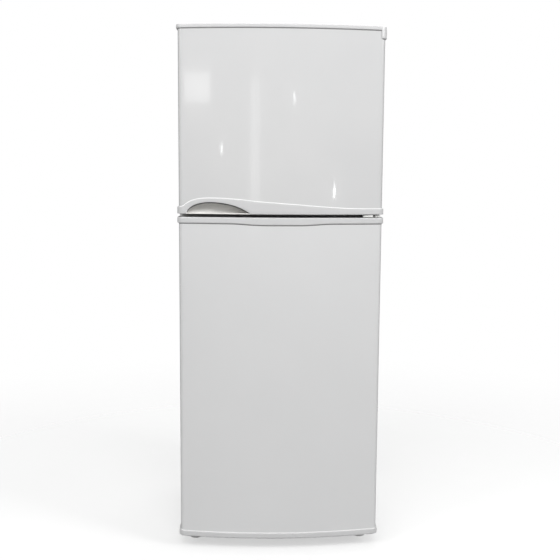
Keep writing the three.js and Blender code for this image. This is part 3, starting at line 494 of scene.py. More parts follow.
def cap_wall(across, low, high, edge=0.003, wall=0.0026, inner_low=0.01, inner_high=0.01, hem=True):
    """Carries a cap's section round the plan: up the inside of the lower edge, round it, up the
    face, round the upper edge and down inside. low and high are functions of x and y. With hem, it
    turns across the door's back at both sides."""
    line, out = door_plan(0.3, cap_bulge, 0.019, across=across, side=24)
    if hem:
        out[0], out[-1] = (-1, 1), (1, 1)
        line = np.concatenate([[(-0.2842, door_rear)], line, [(0.2842, door_rear)]])
        out = np.concatenate([[(0, 1)], out, [(0, 1)]])
    low, high = (level(line[:, 0], line[:, 1]) + np.zeros(len(line)) for level in (low, high))
    turn = np.linspace(0, np.pi / 2, 6)
    lower = [(-edge * (1 - np.sin(q)), low + edge * (1 - np.cos(q))) for q in turn]
    upper = [(-edge * (1 - np.cos(q)), high - edge * (1 - np.sin(q))) for q in turn]
    face = [(0, low + edge + (high - low - 2 * edge) * share) for share in (0.25, 0.5, 0.75)]
    inside = edge + wall
    section = [(-inside, low + inner_low), (-inside, low), *lower, *face]
    section += [*upper, (-inside, high), (-inside, high - inner_high)]
    rows = []
    for offset, height in section:
        rows.append(np.column_stack([line + out * offset, np.broadcast_to(height, len(line))]))
    return np.stack(rows), False


def cap_deck(across, front, levels, rear=door_rear):
    """A flat plate inside a cap, closed along its rear edge: back along its underside and forward
    along its top, between the given two heights. front gives its front edge for each x."""
    across = np.asarray(across)
    ahead = front(across)
    rows = [(ahead, levels[0]), (rear, levels[0]), (rear, levels[1]), (ahead, levels[1])]
    plates = [
        np.column_stack([across, np.broadcast_to(y, len(across)), np.full(len(across), z)])
        for y, z in rows
    ]
    return np.stack(plates), False


def moulded(name, first, second, gloss, grain=900.0, depth=0.00003, cloud=6.0, clear=None, **fixed):
    """A surface whose tone drifts slowly between two colours, whose roughness wanders between the
    two values of gloss, and which has a fine grain. With clear, two values of alpha, it can be seen
    through, least where it is rubbed. The rest are settings of the shader."""
    paint = Paint(name)
    drift = paint.noise(cloud, 4.0)
    rub = paint.noise(cloud * 9, 6.0, 0.68)
    blend = paint.between(drift * 0.7 + rub * 0.3, 0.0, 1.0, 0.25, 0.75)
    paint.set("Base Color", paint.tint(blend, first, second))
    paint.set("Roughness", paint.between(rub, *gloss, 0.2, 0.8))
    paint.set("Normal", paint.bump(paint.noise(grain, 2.0) + rub * 0.1, depth))
    if clear:
        paint.set("Alpha", paint.between(rub, *clear, 0.2, 0.8))
    for socket, value in fixed.items():
        paint.set(socket.replace("_", " "), value)
    return paint


moulded_white = moulded("cap plastic", (0.5, 0.5, 0.5), (0.48, 0.482, 0.485), (0.26, 0.32))

stations = np.linspace(-0.285, 0.285, 110)
hinge_side = np.array([0.2815, 0.2825, 0.2835, 0.284, 0.2845])


def freezer_lug(x, y):
    """The upper cap's lower edge: 11 mm under its top, but 34 mm at the hinge side."""
    return freezer_head - 0.0107 - 0.0233 * np.clip((x - 0.2825) / 0.0015, 0, 1)


def freezer_rim(x, y):
    """The upper cap's upper edge, cut down to the deck where the hinge arm swings over it."""
    return freezer_head - 0.0122 * np.clip((y - door_rear + 0.044) / 0.0015, 0, 1) * (x > 0.29)


def deck_inside(x):
    """The deck's front edge: 8.8 mm behind the cap's face."""
    return cap_front(x) + 0.0088


upper_stations = np.sort(np.concatenate([stations, hinge_side]))
add(
    "freezer_top_cap",
    "freezer_door",
    moulded_white,
    "white_cap_plastic",
    cap_wall(upper_stations, freezer_lug, freezer_rim, 0.0022, 0.0065, 0.001, 0.0025, hem=False),
    cap_deck(
        np.linspace(-0.2912, 0.2912, 90), deck_inside, (freezer_head - 0.0135, freezer_head - 0.012)
    ),
    sharp=40,
    stands_for="freezer_door_top_cap",
)

grip_stations = np.sort(np.concatenate([stations, arch_line[1:-1, 0]]))
grip_stations = grip_stations[np.concatenate([[True], np.diff(grip_stations) > 1e-5])]
grip_zone = (-0.2785, -0.0795)


def behind_grip(x):
    """The lower cap's floor stops behind the cup where the grip is."""
    inside = (x > grip_zone[0]) & (x < grip_zone[1])
    return np.where(inside, door_rear - 0.0362, cap_front(x) + 0.0045)


floor_stations = np.sort(
    np.concatenate(
        [np.linspace(-0.295, 0.295, 60), *[np.array(grip_zone) + d for d in (-1e-4, 1e-4)]]
    )
)
add(
    "freezer_bottom_cap",
    "freezer_door",
    moulded_white,
    "white_cap_plastic",
    cap_wall(
        grip_stations, lambda x, y: freezer_foot + arch(x), lambda x, y: over_grip(x) - 0.0003,
        0.0022, 0.0022, 0.003, 0.006,
    ),
    cap_deck(floor_stations, behind_grip, (freezer_foot, freezer_foot + 0.004)),
    sharp=40,
    stands_for="freezer_door_bottom_cap",
)


def grip_cup():
    """A scoop behind the arch. From its front edge each section runs back under the roof, down a
    rounded back, forward over the floor and round the lip. The back comes forward at both ends."""
    grown = bezier(
        [
            ((-277, 3), (-277, 23), (-243, 39), (-205, 39)),
            ((-205, 39), (-147, 39), (-107, 21), (-80, 3)),
        ],
        30,
    )
    x, roof = grown[:, 0], freezer_foot + np.maximum(grown[:, 1], 0.0036)
    floor = freezer_foot + 0.003
    ahead = cap_front(x) + 0.0046
    share = (x - x.min()) / (x.max() - x.min())
    fullness = np.sqrt(np.clip(1 - np.abs(2 * share - 1) ** 5, 0, 1))
    back = ahead + (door_rear - 0.0375 - ahead) * fullness
    bend = np.minimum(0.011, (roof - floor) / 2)
    bend = np.minimum(bend, np.maximum(back - ahead, 0.0001) * 0.8)
    turn = np.linspace(0, np.pi / 2, 8)
    rows = [(ahead, roof), ((ahead + back - bend) / 2, roof)]
    rows += [(back - bend * (1 - np.sin(q)), roof - bend * (1 - np.cos(q))) for q in turn]
    rows += [(back - bend * (1 - np.cos(q)), floor + bend * (1 - np.sin(q))) for q in turn]
    lip = cap_front(x) + 0.0006
    for part in np.linspace(0.2, 1, 6):
        rows.append(((back - bend) * (1 - part) + (lip + 0.0012) * part, floor - 0.0002 * part))
    rows += [
        (lip + 0.0003, floor - 0.0006), (lip, floor - 0.0014), (lip + 0.0004, freezer_foot + 0.0006)
    ]
    rows += [(lip + 0.0016, freezer_foot + 0.0003), (back, freezer_foot + 0.0003)]
    points = [np.column_stack([x, y, np.broadcast_to(z, len(x))]) for y, z in rows]
    return np.stack(points), False


cup_grey = moulded(
    "grip cup plastic", (0.72, 0.71, 0.69), (0.67, 0.665, 0.645), (0.45, 0.62), 1100.0, 0.00006, 9.0
)
add(
    "grip_cup", "freezer_door", cup_grey, "grip_cup_plastic", grip_cup(), sharp=50,
    stands_for="freezer_grip_cup",
)

# A dark pipe just inside the arch over the grip: painted shade, standing for the shadow under the
# arch's edge.
bead_x = np.linspace(-0.2705, -0.0875, 70)
bead_path = np.column_stack(
    [bead_x, cap_front(bead_x) + 0.0034, freezer_foot + np.maximum(arch(bead_x), 0.002) - 0.0006]
)
bead_turn = np.linspace(0, 2 * np.pi, 10, endpoint=False)
bead_out = np.column_stack([np.zeros(10), np.cos(bead_turn), np.sin(bead_turn)])
bead_grid = bead_path[:, None] + 0.0025 * bead_out
bead_ends = [np.broadcast_to(bead_path[i], (1, 10, 3)) for i in (0, -1)]
bead_grid = np.concatenate([bead_ends[0], bead_grid, bead_ends[1]])
arch_shade_paint = moulded(
    "grip arch painted shade", (0.06, 0.06, 0.06), (0.05, 0.05, 0.05), (0.5, 0.7), 700.0, 0.00003
)
add("grip_arch_shade", "freezer_door", arch_shade_paint, "dark_plastic", bead_grid, sharp=60, stands_for="")

# The refrigerator's upper cap: the trough is cut through its deck as one cell of the deck's grid.
trough = {
    "x": (-0.248, -0.105), "y": (door_rear - 0.05, door_rear - 0.032), "floor": fridge_head - 0.018
}
deck_x = np.concatenate(
    [
        np.linspace(-0.2948, trough["x"][0], 8),
        np.linspace(*trough["x"], 14)[1:],
        np.linspace(trough["x"][1], 0.2948, 40)[1:],
    ]
)
deck_rows = [
    cap_front(deck_x) + 0.005, *[np.full(len(deck_x), y) for y in (*trough["y"], door_rear)]
]
deck = np.stack(
    [np.column_stack([deck_x, y, np.full(len(deck_x), fridge_head)]) for y in deck_rows]
)
under_deck = deck[::3] - (0, 0, 0.004)


def rounded(half_a, half_b, corner, bend=6):
    """A rectangle with round corners about the origin, anticlockwise: each corner's middle plus the
    corner's radius times the outward directions, which come second."""
    angle = np.linspace(0, np.pi / 2, bend) + np.arange(4)[:, None] * np.pi / 2
    out = np.stack([np.cos(angle), np.sin(angle)], -1)
    centre = np.array([[1, 1], [-1, 1], [-1, -1], [1, -1]]) * (half_a - corner, half_b - corner)
    return (centre[:, None] + corner * out).reshape(-1, 2), out.reshape(-1, 2)


axes_across = {"z": (0, 1, 2), "y": (0, 2, 1), "x": (1, 2, 0)}  # two across an axis, then itself


def carried(line, out, section, middle=(0, 0), up="z", ends=(True, True)):
    """Carries a section round a closed outline that lies across the up axis. Each row of it is how
    far out of the outline it lies, and how far along up. An end that is closed is drawn together
    to a point."""
    order = axes_across[up]
    section = np.asarray(section, float)
    flat = line + out * section[:, 0][:, None, None] + np.asarray(middle)
    rows = np.concatenate(
        [flat, np.broadcast_to(section[:, 1][:, None, None], (*flat.shape[:2], 1))], -1
    )
    if ends[0]:
        rows = np.concatenate([np.broadcast_to(rows[0].mean(0), (1, *rows.shape[1:])), rows])
    if ends[1]:
        rows = np.concatenate([rows, np.broadcast_to(rows[-1].mean(0), (1, *rows.shape[1:]))])
    points = np.empty_like(rows)
    points[..., list(order)] = rows
    return points


def fillet(start, end, bulge, steps=5):
    """A quarter turn between two section points. bulge says which of the two is left first:
    1 leaves start along its first value, 0 along its second."""
    turn = np.linspace(0, np.pi / 2, steps)
    first, second = (np.sin(turn), 1 - np.cos(turn)) if bulge else (1 - np.cos(turn), np.sin(turn))
    start, end = np.array(start), np.array(end)
    return list(np.column_stack([first, second]) * (end - start) + start)


def soft_ends(low, high, edge, steps):
    """The section of a straight wall from low to high with a quarter turn at both ends."""
    return [
        *fillet((-edge, low), (0, low + edge), 1, steps),
        *fillet((0, high - edge), (-edge, high), 0, steps),
    ]


def slab(low, high, corner=0.004, edge=0.0015, up="z", bend=6):
    """A closed block between two points, with round corners across up and a rounded edge at each
    end."""
    low, high = np.array(low, float), np.array(high, float)
    a, b, h = axes_across[up]
    half, middle = (high - low) / 2, (high + low) / 2
    corner = min(max(corner, edge), half[a], half[b])
    edge = min(edge, corner, half[h])
    line, out = rounded(half[a], half[b], corner, bend)
    return carried(line, out, soft_ends(low[h], high[h], edge, 4), (middle[a], middle[b]), up)


trough_middle = (sum(trough["x"]) / 2, sum(trough["y"]) / 2)
trough_line, trough_out = rounded(np.ptp(trough["x"]) / 2, np.ptp(trough["y"]) / 2, 0.004, 5)
trough_section = [
    (0.0, fridge_head), (-0.0004, fridge_head - 0.0006), (-0.0006, fridge_head - 0.002)
]
trough_section += [
    (-0.0012, trough["floor"] + 0.003),
    (-0.0022, trough["floor"] + 0.0008),
    (-0.004, trough["floor"]),
]
add(
    "fridge_top_cap",
    "fridge_door",
    moulded_white,
    "white_cap_plastic",
    cap_wall(
        stations, lambda x, y: under_belly(x) + 0.0003, lambda x, y: fridge_head, 0.003, 0.002,
        0.008, 0.004,
    ),
    (deck[:2], False),
    (deck[2:], False),
    (deck[1:3, :8], False),
    (deck[1:3, 20:], False),
    (under_deck, False),
    carried(trough_line, trough_out, trough_section, trough_middle, ends=(False, True)),
    sharp=40,
    stands_for="fridge_door_top_cap",
)

add(
    "fridge_bottom_cap",
    "fridge_door",
    moulded_white,
    "white_cap_plastic",
    cap_wall(
        stations, lambda x, y: fridge_foot, lambda x, y: fridge_foot + 0.0187, 0.0045, 0.0015,
        0.004, 0.004,
    ),
    cap_deck(
        np.linspace(-0.2938, 0.2938, 80),
        lambda x: cap_front(x) + 0.006,
        (fridge_foot, fridge_foot + 0.004),
    ),
    sharp=40,
    stands_for="fridge_door_bottom_cap",
)

# ---------------------------------------------------------------- seams round the doors
# A narrow band in the joint beside each end cap carries painted light: painted shade, dark, at both
# top caps, and a painted highlight, white, at both lower caps, where their edge catches the light.

# Painted highlight: a white band for the light that the lower caps' upper edges catch.
painted_highlight_band = moulded(
    "painted highlight band", (0.86, 0.86, 0.86), (0.8, 0.8, 0.8), (0.2, 0.3), 600.0, 0.00003
)
# Painted shade: a dark band for the shadow in the joint under each top cap.
painted_shade_band = moulded(
    "painted shade band", (0.16, 0.16, 0.16), (0.13, 0.13, 0.13), (0.5, 0.7), 600.0, 0.00003
)


def seam(name, body, across, height, deep=0.0024, paint=painted_shade_band):
    """A narrow band carried round the door's plan, just proud of the skin. height gives its upper
    edge at each x and y, and deep how far it reaches down."""
    line, out = door_plan(0.2952, 0.0812, 0.0142, across=across)
    level = height(line[:, 0], line[:, 1]) + np.zeros(len(line))
    section = [(-0.001, -deep), (0.0002, -deep), (0.0002, 0), (-0.001, 0)]
    rows = [np.column_stack([line + out * offset, level + lift]) for offset, lift in section]
    band = make(name, (np.stack(rows), False), sharp=40)
    settle(band, body, paint, "dark_plastic")


# Painted shade under both top caps, painted highlights along both lower caps.
seam("freezer_top_seam_shade", "freezer_door", upper_stations, lambda x, y: freezer_lug(x, y) + 0.0004)
seam(
    "freezer_bottom_seam_highlight", "freezer_door", grip_stations, lambda x, y: over_grip(x) + 0.0009,
    0.0016, painted_highlight_band,
)
seam("fridge_top_seam_shade", "fridge_door", stations, lambda x, y: under_belly(x) + 0.0005, 0.002)
seam(
    "fridge_bottom_seam_highlight", "fridge_door", stations, lambda x, y: fridge_foot + 0.0192, 0.0028,
    painted_highlight_band,
)

# ---------------------------------------------------------------- door seals
# A soft grey bellows runs round the back of each door, clipped into the liner, with a magnet in its
# flat outer lip that holds it against the cabinet.


def loop(points):
    """A section that comes back to its first point."""
    return [*points, points[0]]


rubber = moulded(
    "seal rubber", (0.5, 0.505, 0.51), (0.42, 0.425, 0.43), (0.5, 0.7), 500.0, 0.00008, 14.0
)
for door in ("freezer", "fridge"):
    low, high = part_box(f"{door}_door_gasket")
    half, middle = (high - low) / 2, (high + low) / 2
    line, out = rounded(half.x, half.z, 0.009)
    rear, front = high.y, low.y
    profile = [(0, front), (0, front + 0.0018), (-0.0022, front + 0.0026), (-0.0008, front + 0.004)]
    profile += [(-0.0008, rear - 0.0022), (0, rear - 0.0018), (0, rear - 0.0003), (-0.0006, rear)]
    profile += [(-0.0125, rear), (-0.0132, rear - 0.0006), (-0.013, rear - 0.0022)]
    profile += [(-0.0112, front + 0.004), (-0.0138, front + 0.0024), (-0.016, front + 0.0016)]
    profile += [(-0.016, front)]
    add(
        f"{door}_seal",
        f"{door}_door",
        rubber,
        "gasket_rubber",
        carried(line, out, loop(profile), (middle.x, middle.z), "y", (False, False)),
        stands_for=f"{door}_door_gasket",
    )

# ---------------------------------------------------------------- door inner panels
# The inside of each door is vacuum-formed white polystyrene: a flat border, and a raised frame with
# soft edges whose two uprights the racks hang between.

liner_white = moulded(
    "door panel polystyrene", (0.66, 0.66, 0.645), (0.635, 0.636, 0.622), (0.26, 0.36), 520.0,
    0.000005, 3.0,
)


def door_panel(name, half, rib, low, high, deep, sill):
    """Rectangles with round corners, joined one after another: the back of the border, the border,
    the frame's outer wall, its top, its inner wall and the bottom of the pocket."""
    box_low, box_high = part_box(name)
    line, out = rounded(half, (high - low) / 2, 0.016, 8)
    lift = box_low.y + 0.0024
    middle = (0, (high + low) / 2)
    frame_rows = [(0.007, lift)]
    frame_rows += fillet((0.006, lift), (0, lift + 0.006), 1)
    frame_rows += [
        (-0.0006, lift + deep * 0.6),
        *fillet((-0.001, lift + deep - 0.006), (-0.007, lift + deep), 0),
    ]
    outer = carried(line, out, frame_rows, middle, "y", (False, False))
    border_line, border_out = rounded(
        (box_high.x - box_low.x) / 2, (box_high.z - box_low.z) / 2, 0.016, 8
    )
    border_rows = [
        (-0.0008, box_low.y), (0, box_low.y + 0.0006), (0, lift - 0.0006), (-0.0006, lift)
    ]
    border = carried(
        border_line, border_out, border_rows, (0, (box_high.z + box_low.z) / 2), "y", (True, False)
    )
    pocket_line, pocket_out = rounded(half - rib, (high - low) / 2 - sill, 0.012, 8)
    pocket_rows = [*fillet((0.004, lift + deep), (0, lift + deep - 0.004), 1), (0, lift + 0.007)]
    pocket_rows += [*fillet((0, lift + 0.006), (-0.006, lift), 0), (-0.0062, lift)]
    pocket = carried(pocket_line, pocket_out, pocket_rows, middle, "y", (False, True))
    return make(name.replace("liner", "panel"), np.concatenate([border, outer, pocket]), sharp=42)


panel = door_panel(
    "freezer_door_liner", 0.222, 0.024, freezer_foot + 0.04, freezer_foot + 0.455, 0.038, 0.018
)
settle(panel, "freezer_door", liner_white, "liner_plastic", "freezer_door_liner")
panel = door_panel(
    "fridge_door_liner", 0.236, 0.026, fridge_foot + 0.084, fridge_foot + 0.922, 0.04, 0.02
)
settle(panel, "fridge_door", liner_white, "liner_plastic", "fridge_door_liner")

# ---------------------------------------------------------------- door racks
# Clear styrene racks hang on each door. Each is one moulding with a thick rim, a stiffening step
# along its front and soft corners. The eggs sit in a separate white tray.

clear = moulded(
    "clear styrene",
    (0.62, 0.7, 0.73),
    (0.58, 0.67, 0.7),
    (0.04, 0.12),
    200.0,
    0.00002,
    clear=(0.2, 0.27),
)


def tub(low, high, wall=0.0025, corner=0.014, foot=0.006, rim=0.0014, step=None):
    """An open-topped moulding: out along its floor, up the wall to a bead, over it and down
    inside. step is the height of a stiffening step in the wall."""
    half, middle = (high - low) / 2, (high + low) / 2
    line, out = rounded(half.x, half.y, corner, 8)
    bottom, top = low.z, high.z
    section = [
        (-rim - foot - 0.0006, bottom),
        *fillet((-rim - foot, bottom), (-rim - 0.0006, bottom + foot), 1),
    ]
    if step:
        section += [
            (-rim - 0.0003, step - 0.002), (-rim + 0.001, step), (-rim + 0.001, step + 0.006)
        ]
        section += [(-rim - 0.0002, step + 0.008)]
    section += [
        (-rim, top - 0.0065), (0, top - 0.0055), (0, top - 0.0012), (-0.0006, top - 0.0003),
        (-0.0014, top),
    ]
    section += [(-rim - wall + 0.0006, top), (-rim - wall, top - 0.0008)]
    section += [
        *fillet(
            (-rim - wall - 0.0006, bottom + wall + foot), (-rim - wall - foot, bottom + wall), 0
        )
    ]
    return carried(line, out, section, (middle.x, middle.y))


for name, body in (
    ("freezer_rack_upper", "freezer_door"),
    ("freezer_rack_lower", "freezer_door"),
    ("bottle_rack", "fridge_door"),
    ("egg_rack", "fridge_door"),
):
    low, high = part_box(name)
    add(
        name,
        body,
        clear,
        "clear_plastic",
        tub(low, high, step=low.z + (high.z - low.z) * 0.55),
        sharp=40,
    )

egg_low, egg_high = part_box("egg_rack")
cups = 9
egg_x = np.linspace(egg_low.x + 0.0075, egg_high.x - 0.0075, 200)
egg_y = np.linspace(egg_low.y + 0.007, egg_high.y - 0.007, 60)
pitch_x, pitch_y = np.ptp(egg_x) / cups, np.ptp(egg_y) / 2
across = (np.mod(egg_x - egg_x[0], pitch_x) - pitch_x / 2)[None]
along = (np.mod(egg_y - egg_y[0] - 1e-7, pitch_y) - pitch_y / 2)[:, None]
reach = np.sqrt(across**2 + along**2) / 0.0185
dish = np.sqrt(np.clip(1 - reach**2, 0, 1)) * 0.017
edge = np.minimum(
    np.minimum(egg_x - egg_x[0], egg_x[-1] - egg_x)[None],
    np.minimum(egg_y - egg_y[0], egg_y[-1] - egg_y)[:, None],
)
egg_top = egg_low.z + 0.03 - dish - 0.006 * (edge < 1e-6)
egg_points = np.stack([*np.broadcast_arrays(egg_x[None], egg_y[:, None], egg_top)], -1)
egg_tray = thicken(make("egg_tray", (egg_points, False), sharp=50), 0.0014, 0)
settle(egg_tray, "fridge_door", liner_white, "liner_plastic")

low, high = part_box("dairy_rack")
shelf_top = low.copy()
shelf_top.x, shelf_top.y, shelf_top.z = high.x, low.y + 0.081, low.z + 0.027
add(
    "dairy_rack",
    "fridge_door",
    clear,
    "clear_plastic",
    tub(low, shelf_top),
    slab((0.0083, low.y + 0.0005, low.z + 0.0005), (0.0117, high.y, high.z), 0.006, 0.0012, "x"),
    slab(
        (high.x - 0.0038, low.y + 0.0005, low.z + 0.0005),
        (high.x - 0.0002, high.y, high.z),
        0.006,
        0.0012,
        "x",
    ),
    sharp=40,
)

low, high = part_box("dairy_flap")
flap_axis = (low.y + 0.0036, high.z - 0.0036)


def turned(profile, middle, up="z", sides=40, ripple=0.0, count=0):
    """Carries a (radius, height) profile round an axis. ripple and count flute its sides."""
    angle = np.linspace(0, 2 * np.pi, sides, endpoint=False)
    circle = np.column_stack([np.cos(angle), np.sin(angle)])
    profile = np.asarray(profile, float)
    ends = (profile[0, 0] > 1e-6, profile[-1, 0] > 1e-6)
    fluted = circle * (1 + ripple * np.cos(count * angle))[:, None]
    return carried(circle * 0, fluted, profile, middle, up, ends)


add(
    "dairy_flap",
    "dairy_flap",
    clear,
    "clear_plastic",
    slab(
        (low.x + 0.0026, low.y + 0.0025, low.z),
        (high.x - 0.003, low.y + 0.0055, high.z - 0.003),
        0.005,
        0.0012,
        "y",
    ),
    turned(
        [
            *mm([(2.8, 0), (2.8, 2), (3.6, 2.6)], (0, low.x)),
            *mm([(3.6, -3), (2.8, -2), (2.8, 0)], (0, high.x)),
        ],
        flap_axis,
        "x",
        20,
    ),
    slab(
        (0.085, low.y + 0.001, low.z + 0.006), (0.135, low.y + 0.003, low.z + 0.014), 0.003, 0.0008,
        "y",
    ),
    sharp=40,
)

# ---------------------------------------------------------------- cabinet shell
# The cabinet is wrapped in 1.2 mm steel, painted white: a panel down each side, folded round the
# front edge and the rear edge, a flat roof with a lip, and a plain zinc-coated back that has been
# pressed outwards in one large shallow field.


def bent(points, radius, closed=False, bend=5):
    """A run of straight lines with its corners rounded by arcs, and the outward direction at each
    point, to the right of the way that the run goes. radius may differ from corner to corner."""
    points = np.asarray(points, float)
    count = len(points)
    radii = np.broadcast_to(radius, count)
    line, out = [], []
    for i, corner in enumerate(points):
        if not closed and i in (0, count - 1):
            way = points[1] - points[0] if i == 0 else points[-1] - points[-2]
            line.append(corner[None])
            out.append((np.array([way[1], -way[0]]) / np.linalg.norm(way))[None])
            continue
        before, after = points[i - 1] - corner, points[(i + 1) % count] - corner
        before, after = before / np.linalg.norm(before), after / np.linalg.norm(after)
        half_turn = np.arccos(np.clip(before @ after, -1, 1)) / 2
        middle = corner + (before + after) / np.linalg.norm(
            before + after
        ) * radii[i] / np.sin(half_turn)
        start = corner + before * radii[i] / np.tan(half_turn) - middle
        end = corner + after * radii[i] / np.tan(half_turn) - middle
        share = np.linspace(0, 1, bend)[:, None]
        sweep_angle = np.pi - 2 * half_turn
        arc = (
            np.sin((1 - share) * sweep_angle) * start + np.sin(share * sweep_angle) * end
        ) / np.sin(sweep_angle)
        hand = 1 if before[0] * after[1] - before[1] * after[0] < 0 else -1
        line.append(middle + arc)
        out.append(arc / radii[i] * hand)
    return np.concatenate(line), np.concatenate(out)


def folded(points, radius, depth, ends):
    """A folded sheet: a bent line given its thickness to the left, carried between two heights,
    where narrow strips close it."""
    line, out = bent(points, radius)
    inner = line - out * depth
    ring = np.concatenate([line, inner[::-1]])

    def placed(flat, at):
        """The flat points at one height."""
        return np.column_stack([flat, np.full(len(flat), at)])

    levels = np.linspace(*ends, 7)
    grids = [np.stack([placed(ring, at) for at in levels])]
    for at in ends:
        grids.append((np.stack([placed(line, at), placed(inner, at)]), False))
    return grids


# The cabinet's paint gets no painted edge shade.
cabinet_white = enamel(
    "cabinet white", (0.56, 0.56, 0.558), (0.535, 0.537, 0.536), 0.34, 0.00006, edge_shade=0.0
)
for side, turn in (("left", -1), ("right", 1)):
    low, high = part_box(f"side_panel_{side}")
    outer = 0.296
    run = [(0.2563, low.y), (outer, low.y), (outer, high.y), (0.283, high.y)]
    run = [(turn * x, y) for x, y in run]
    if turn < 0:
        run = run[::-1]
    add(
        f"side_panel_{side}", "cabinet", cabinet_white, "white_painted_steel",
        *folded(run, 0.0025, 0.0011, (low.z, high.z)), sharp=50,
    )

low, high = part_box("top_panel")
add(
    "top_panel",
    "cabinet",
    cabinet_white,
    "white_painted_steel",
    slab(
        (-0.2945, low.y + 0.0014, high.z - 0.0012), (0.2945, high.y - 0.0002, high.z), 0.001, 0.0005
    ),
    slab((-0.256, low.y, low.z), (0.256, low.y + 0.0013, high.z), 0.0012, 0.0005, "y"),
    sharp=50,
)

low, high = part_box("mullion_rail")
add(
    "mullion_rail", "cabinet", cabinet_white, "white_painted_steel",
    slab(low, high, 0.0008, 0.0005, "y"), sharp=50,
)

zinc = moulded(
    "zinc-coated steel", (0.44, 0.45, 0.46), (0.39, 0.4, 0.41), (0.34, 0.48), 260.0, 0.00003, 26.0,
    Metallic=0.7,
)
low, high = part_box("rear_panel")
back_line, back_out = rounded(0.2828, (high.z - low.z) / 2 - 0.0006, 0.001, 10)
field_line, field_out = rounded(0.262, (high.z - low.z) / 2 - 0.03, 0.022, 10)
middle = (0, (high.z + low.z) / 2)
rim_rows = [(0, low.y - 0.0004), (0, low.y + 0.0002)]
field_rows = [
    (0.004, low.y + 0.0002),
    (0.002, low.y + 0.0004),
    (-0.001, high.y - 0.0003),
    (-0.003, high.y - 0.0001),
]
add(
    "rear_panel",
    "cabinet",
    zinc,
    "zinc_steel",
    np.concatenate(
        [
            carried(back_line, back_out, rim_rows, middle, "y", (True, False)),
            carried(field_line, field_out, field_rows, middle, "y", (False, True)),
        ]
    ),
    sharp=30,
)

# ---------------------------------------------------------------- hinges
# Each hinge is a plated steel arm with a turned pin. The top one is screwed to the roof under a
# white cover; the middle one fills the gap between the doors at their hinge side; the bottom one is
# a bracket on the front rail that carries both doors.

axis = (0.281, door_rear - 0.026)
plated = moulded(
    "bright plated steel", (0.62, 0.62, 0.61), (0.52, 0.52, 0.515), (0.22, 0.4), 380.0, 0.00002,
    20.0, Metallic=0.9,
)
hinge_grey = moulded(
    "hinge grey paint", (0.62, 0.62, 0.61), (0.56, 0.56, 0.555), (0.3, 0.44), 520.0, 0.00003
)


def plate(points, radius, low, high, edge=0.0006):
    """A flat plate cut to a bent outline, with its edges broken."""
    line, out = bent(points, radius, closed=True)
    section = [(-edge, low), (0, low + edge), (0, high - edge), (-edge, high)]
    return carried(line, out, section)


def pin(low, high, radius=0.004, tip=0.0012, middle=axis, sides=28):
    """A turned pin with a chamfer at both ends."""
    section = [
        (0, low), (radius - tip, low), (radius, low + tip), (radius, high - tip),
        (radius - tip, high), (0, high),
    ]
    return turned(section, middle, sides=sides)


def screw(x, y, base, radius=0.0042, tall=0.0022, up="z", way=1):
    """A pan-head screw with a cross cut in it, standing on a surface. way is 1 or -1 along up."""
    profile = [
        (0, 0), (radius, 0), (radius, tall * 0.35), (radius * 0.8, tall * 0.8),
        (radius * 0.42, tall),
    ]
    profile += [(radius * 0.38, tall * 0.45), (0, tall * 0.4)]
    profile = [(r, base + way * h) for r, h in profile]
    return turned(profile, (x, y), up, 16, 0.12, 4)


low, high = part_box("top_hinge")
x0, rear = low.x, high.y
arm = [
    (x0, rear),
    (x0, axis[1] + 0.006),
    (axis[0] - 0.007, axis[1] - 0.0064),
    (axis[0] + 0.0062, axis[1] - 0.0064),
]
arm += [
    (axis[0] + 0.0062, axis[1] + 0.012), (axis[0] - 0.016, axis[1] + 0.034), (axis[0] - 0.016, rear)
]
add(
    "top_hinge",
    "cabinet",
    plated,
    "zinc_steel",
    plate(arm, [0.003, 0.004, 0.0045, 0.0045, 0.004, 0.006, 0.003], high.z - 0.003, high.z, 0.0005),
    pin(low.z, high.z - 0.001),
    sharp=35,
)

low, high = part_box("top_hinge_cover")
cover_line, cover_out = rounded((high.x - low.x) / 2, (high.y - low.y) / 2, 0.009, 7)
cover_section = [
    (0, low.z),
    (-0.0003, low.z + 0.004),
    *fillet((-0.0006, high.z - 0.0042), (-0.0052, high.z - 0.0004), 0),
    (-0.0054, high.z - 0.0004),
]
cover_middle = ((high.x + low.x) / 2, (high.y + low.y) / 2)
add(
    "top_hinge_cover",
    "cabinet",
    moulded_white,
    "white_cap_plastic",
    carried(cover_line, cover_out, cover_section, cover_middle),
    sharp=35,
)

low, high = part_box("middle_hinge")
gap_middle = (low.z + high.z) / 2
face_y = (high.y - 0.0024, high.y)
arm = [
    (axis[0] - 0.042, face_y[0] + 0.001),
    (axis[0] - 0.042, axis[1] + 0.004),
    (axis[0] - 0.03, axis[1] - 0.0095),
]
arm += [(axis[0] + 0.0088, axis[1] - 0.0095), (axis[0] + 0.0088, face_y[0] + 0.001)]
add(
    "middle_hinge",
    "cabinet",
    hinge_grey,
    "white_painted_steel",
    plate(arm, [0.001, 0.008, 0.005, 0.006, 0.001], gap_middle - 0.002, gap_middle + 0.002),
    slab((low.x, face_y[0], 0.993), (high.x, face_y[1], 1.012), 0.003, 0.0005, "y"),
    pin(low.z, high.z),
    pin(gap_middle - 0.0039, gap_middle + 0.0039, 0.008, 0.0008),
    screw(low.x + 0.008, 1.0075, face_y[0], 0.0036, 0.0018, "y", -1),
    screw(low.x + 0.026, 1.0085, face_y[0], 0.0036, 0.0018, "y", -1),
    sharp=35,
)

plate_top = gap_middle + 0.0026
add(
    "middle_hinge_cover",
    "cabinet",
    liner_white,
    "white_cap_plastic",
    slab((0.2378, -0.3, gap_middle - 0.0028), (0.2682, -0.272, plate_top), 0.003, 0.001),
    slab((0.2722, -0.291, gap_middle - 0.0028), (0.2905, -0.279, plate_top), 0.004, 0.001),
    sharp=40,
    stands_for="",
)

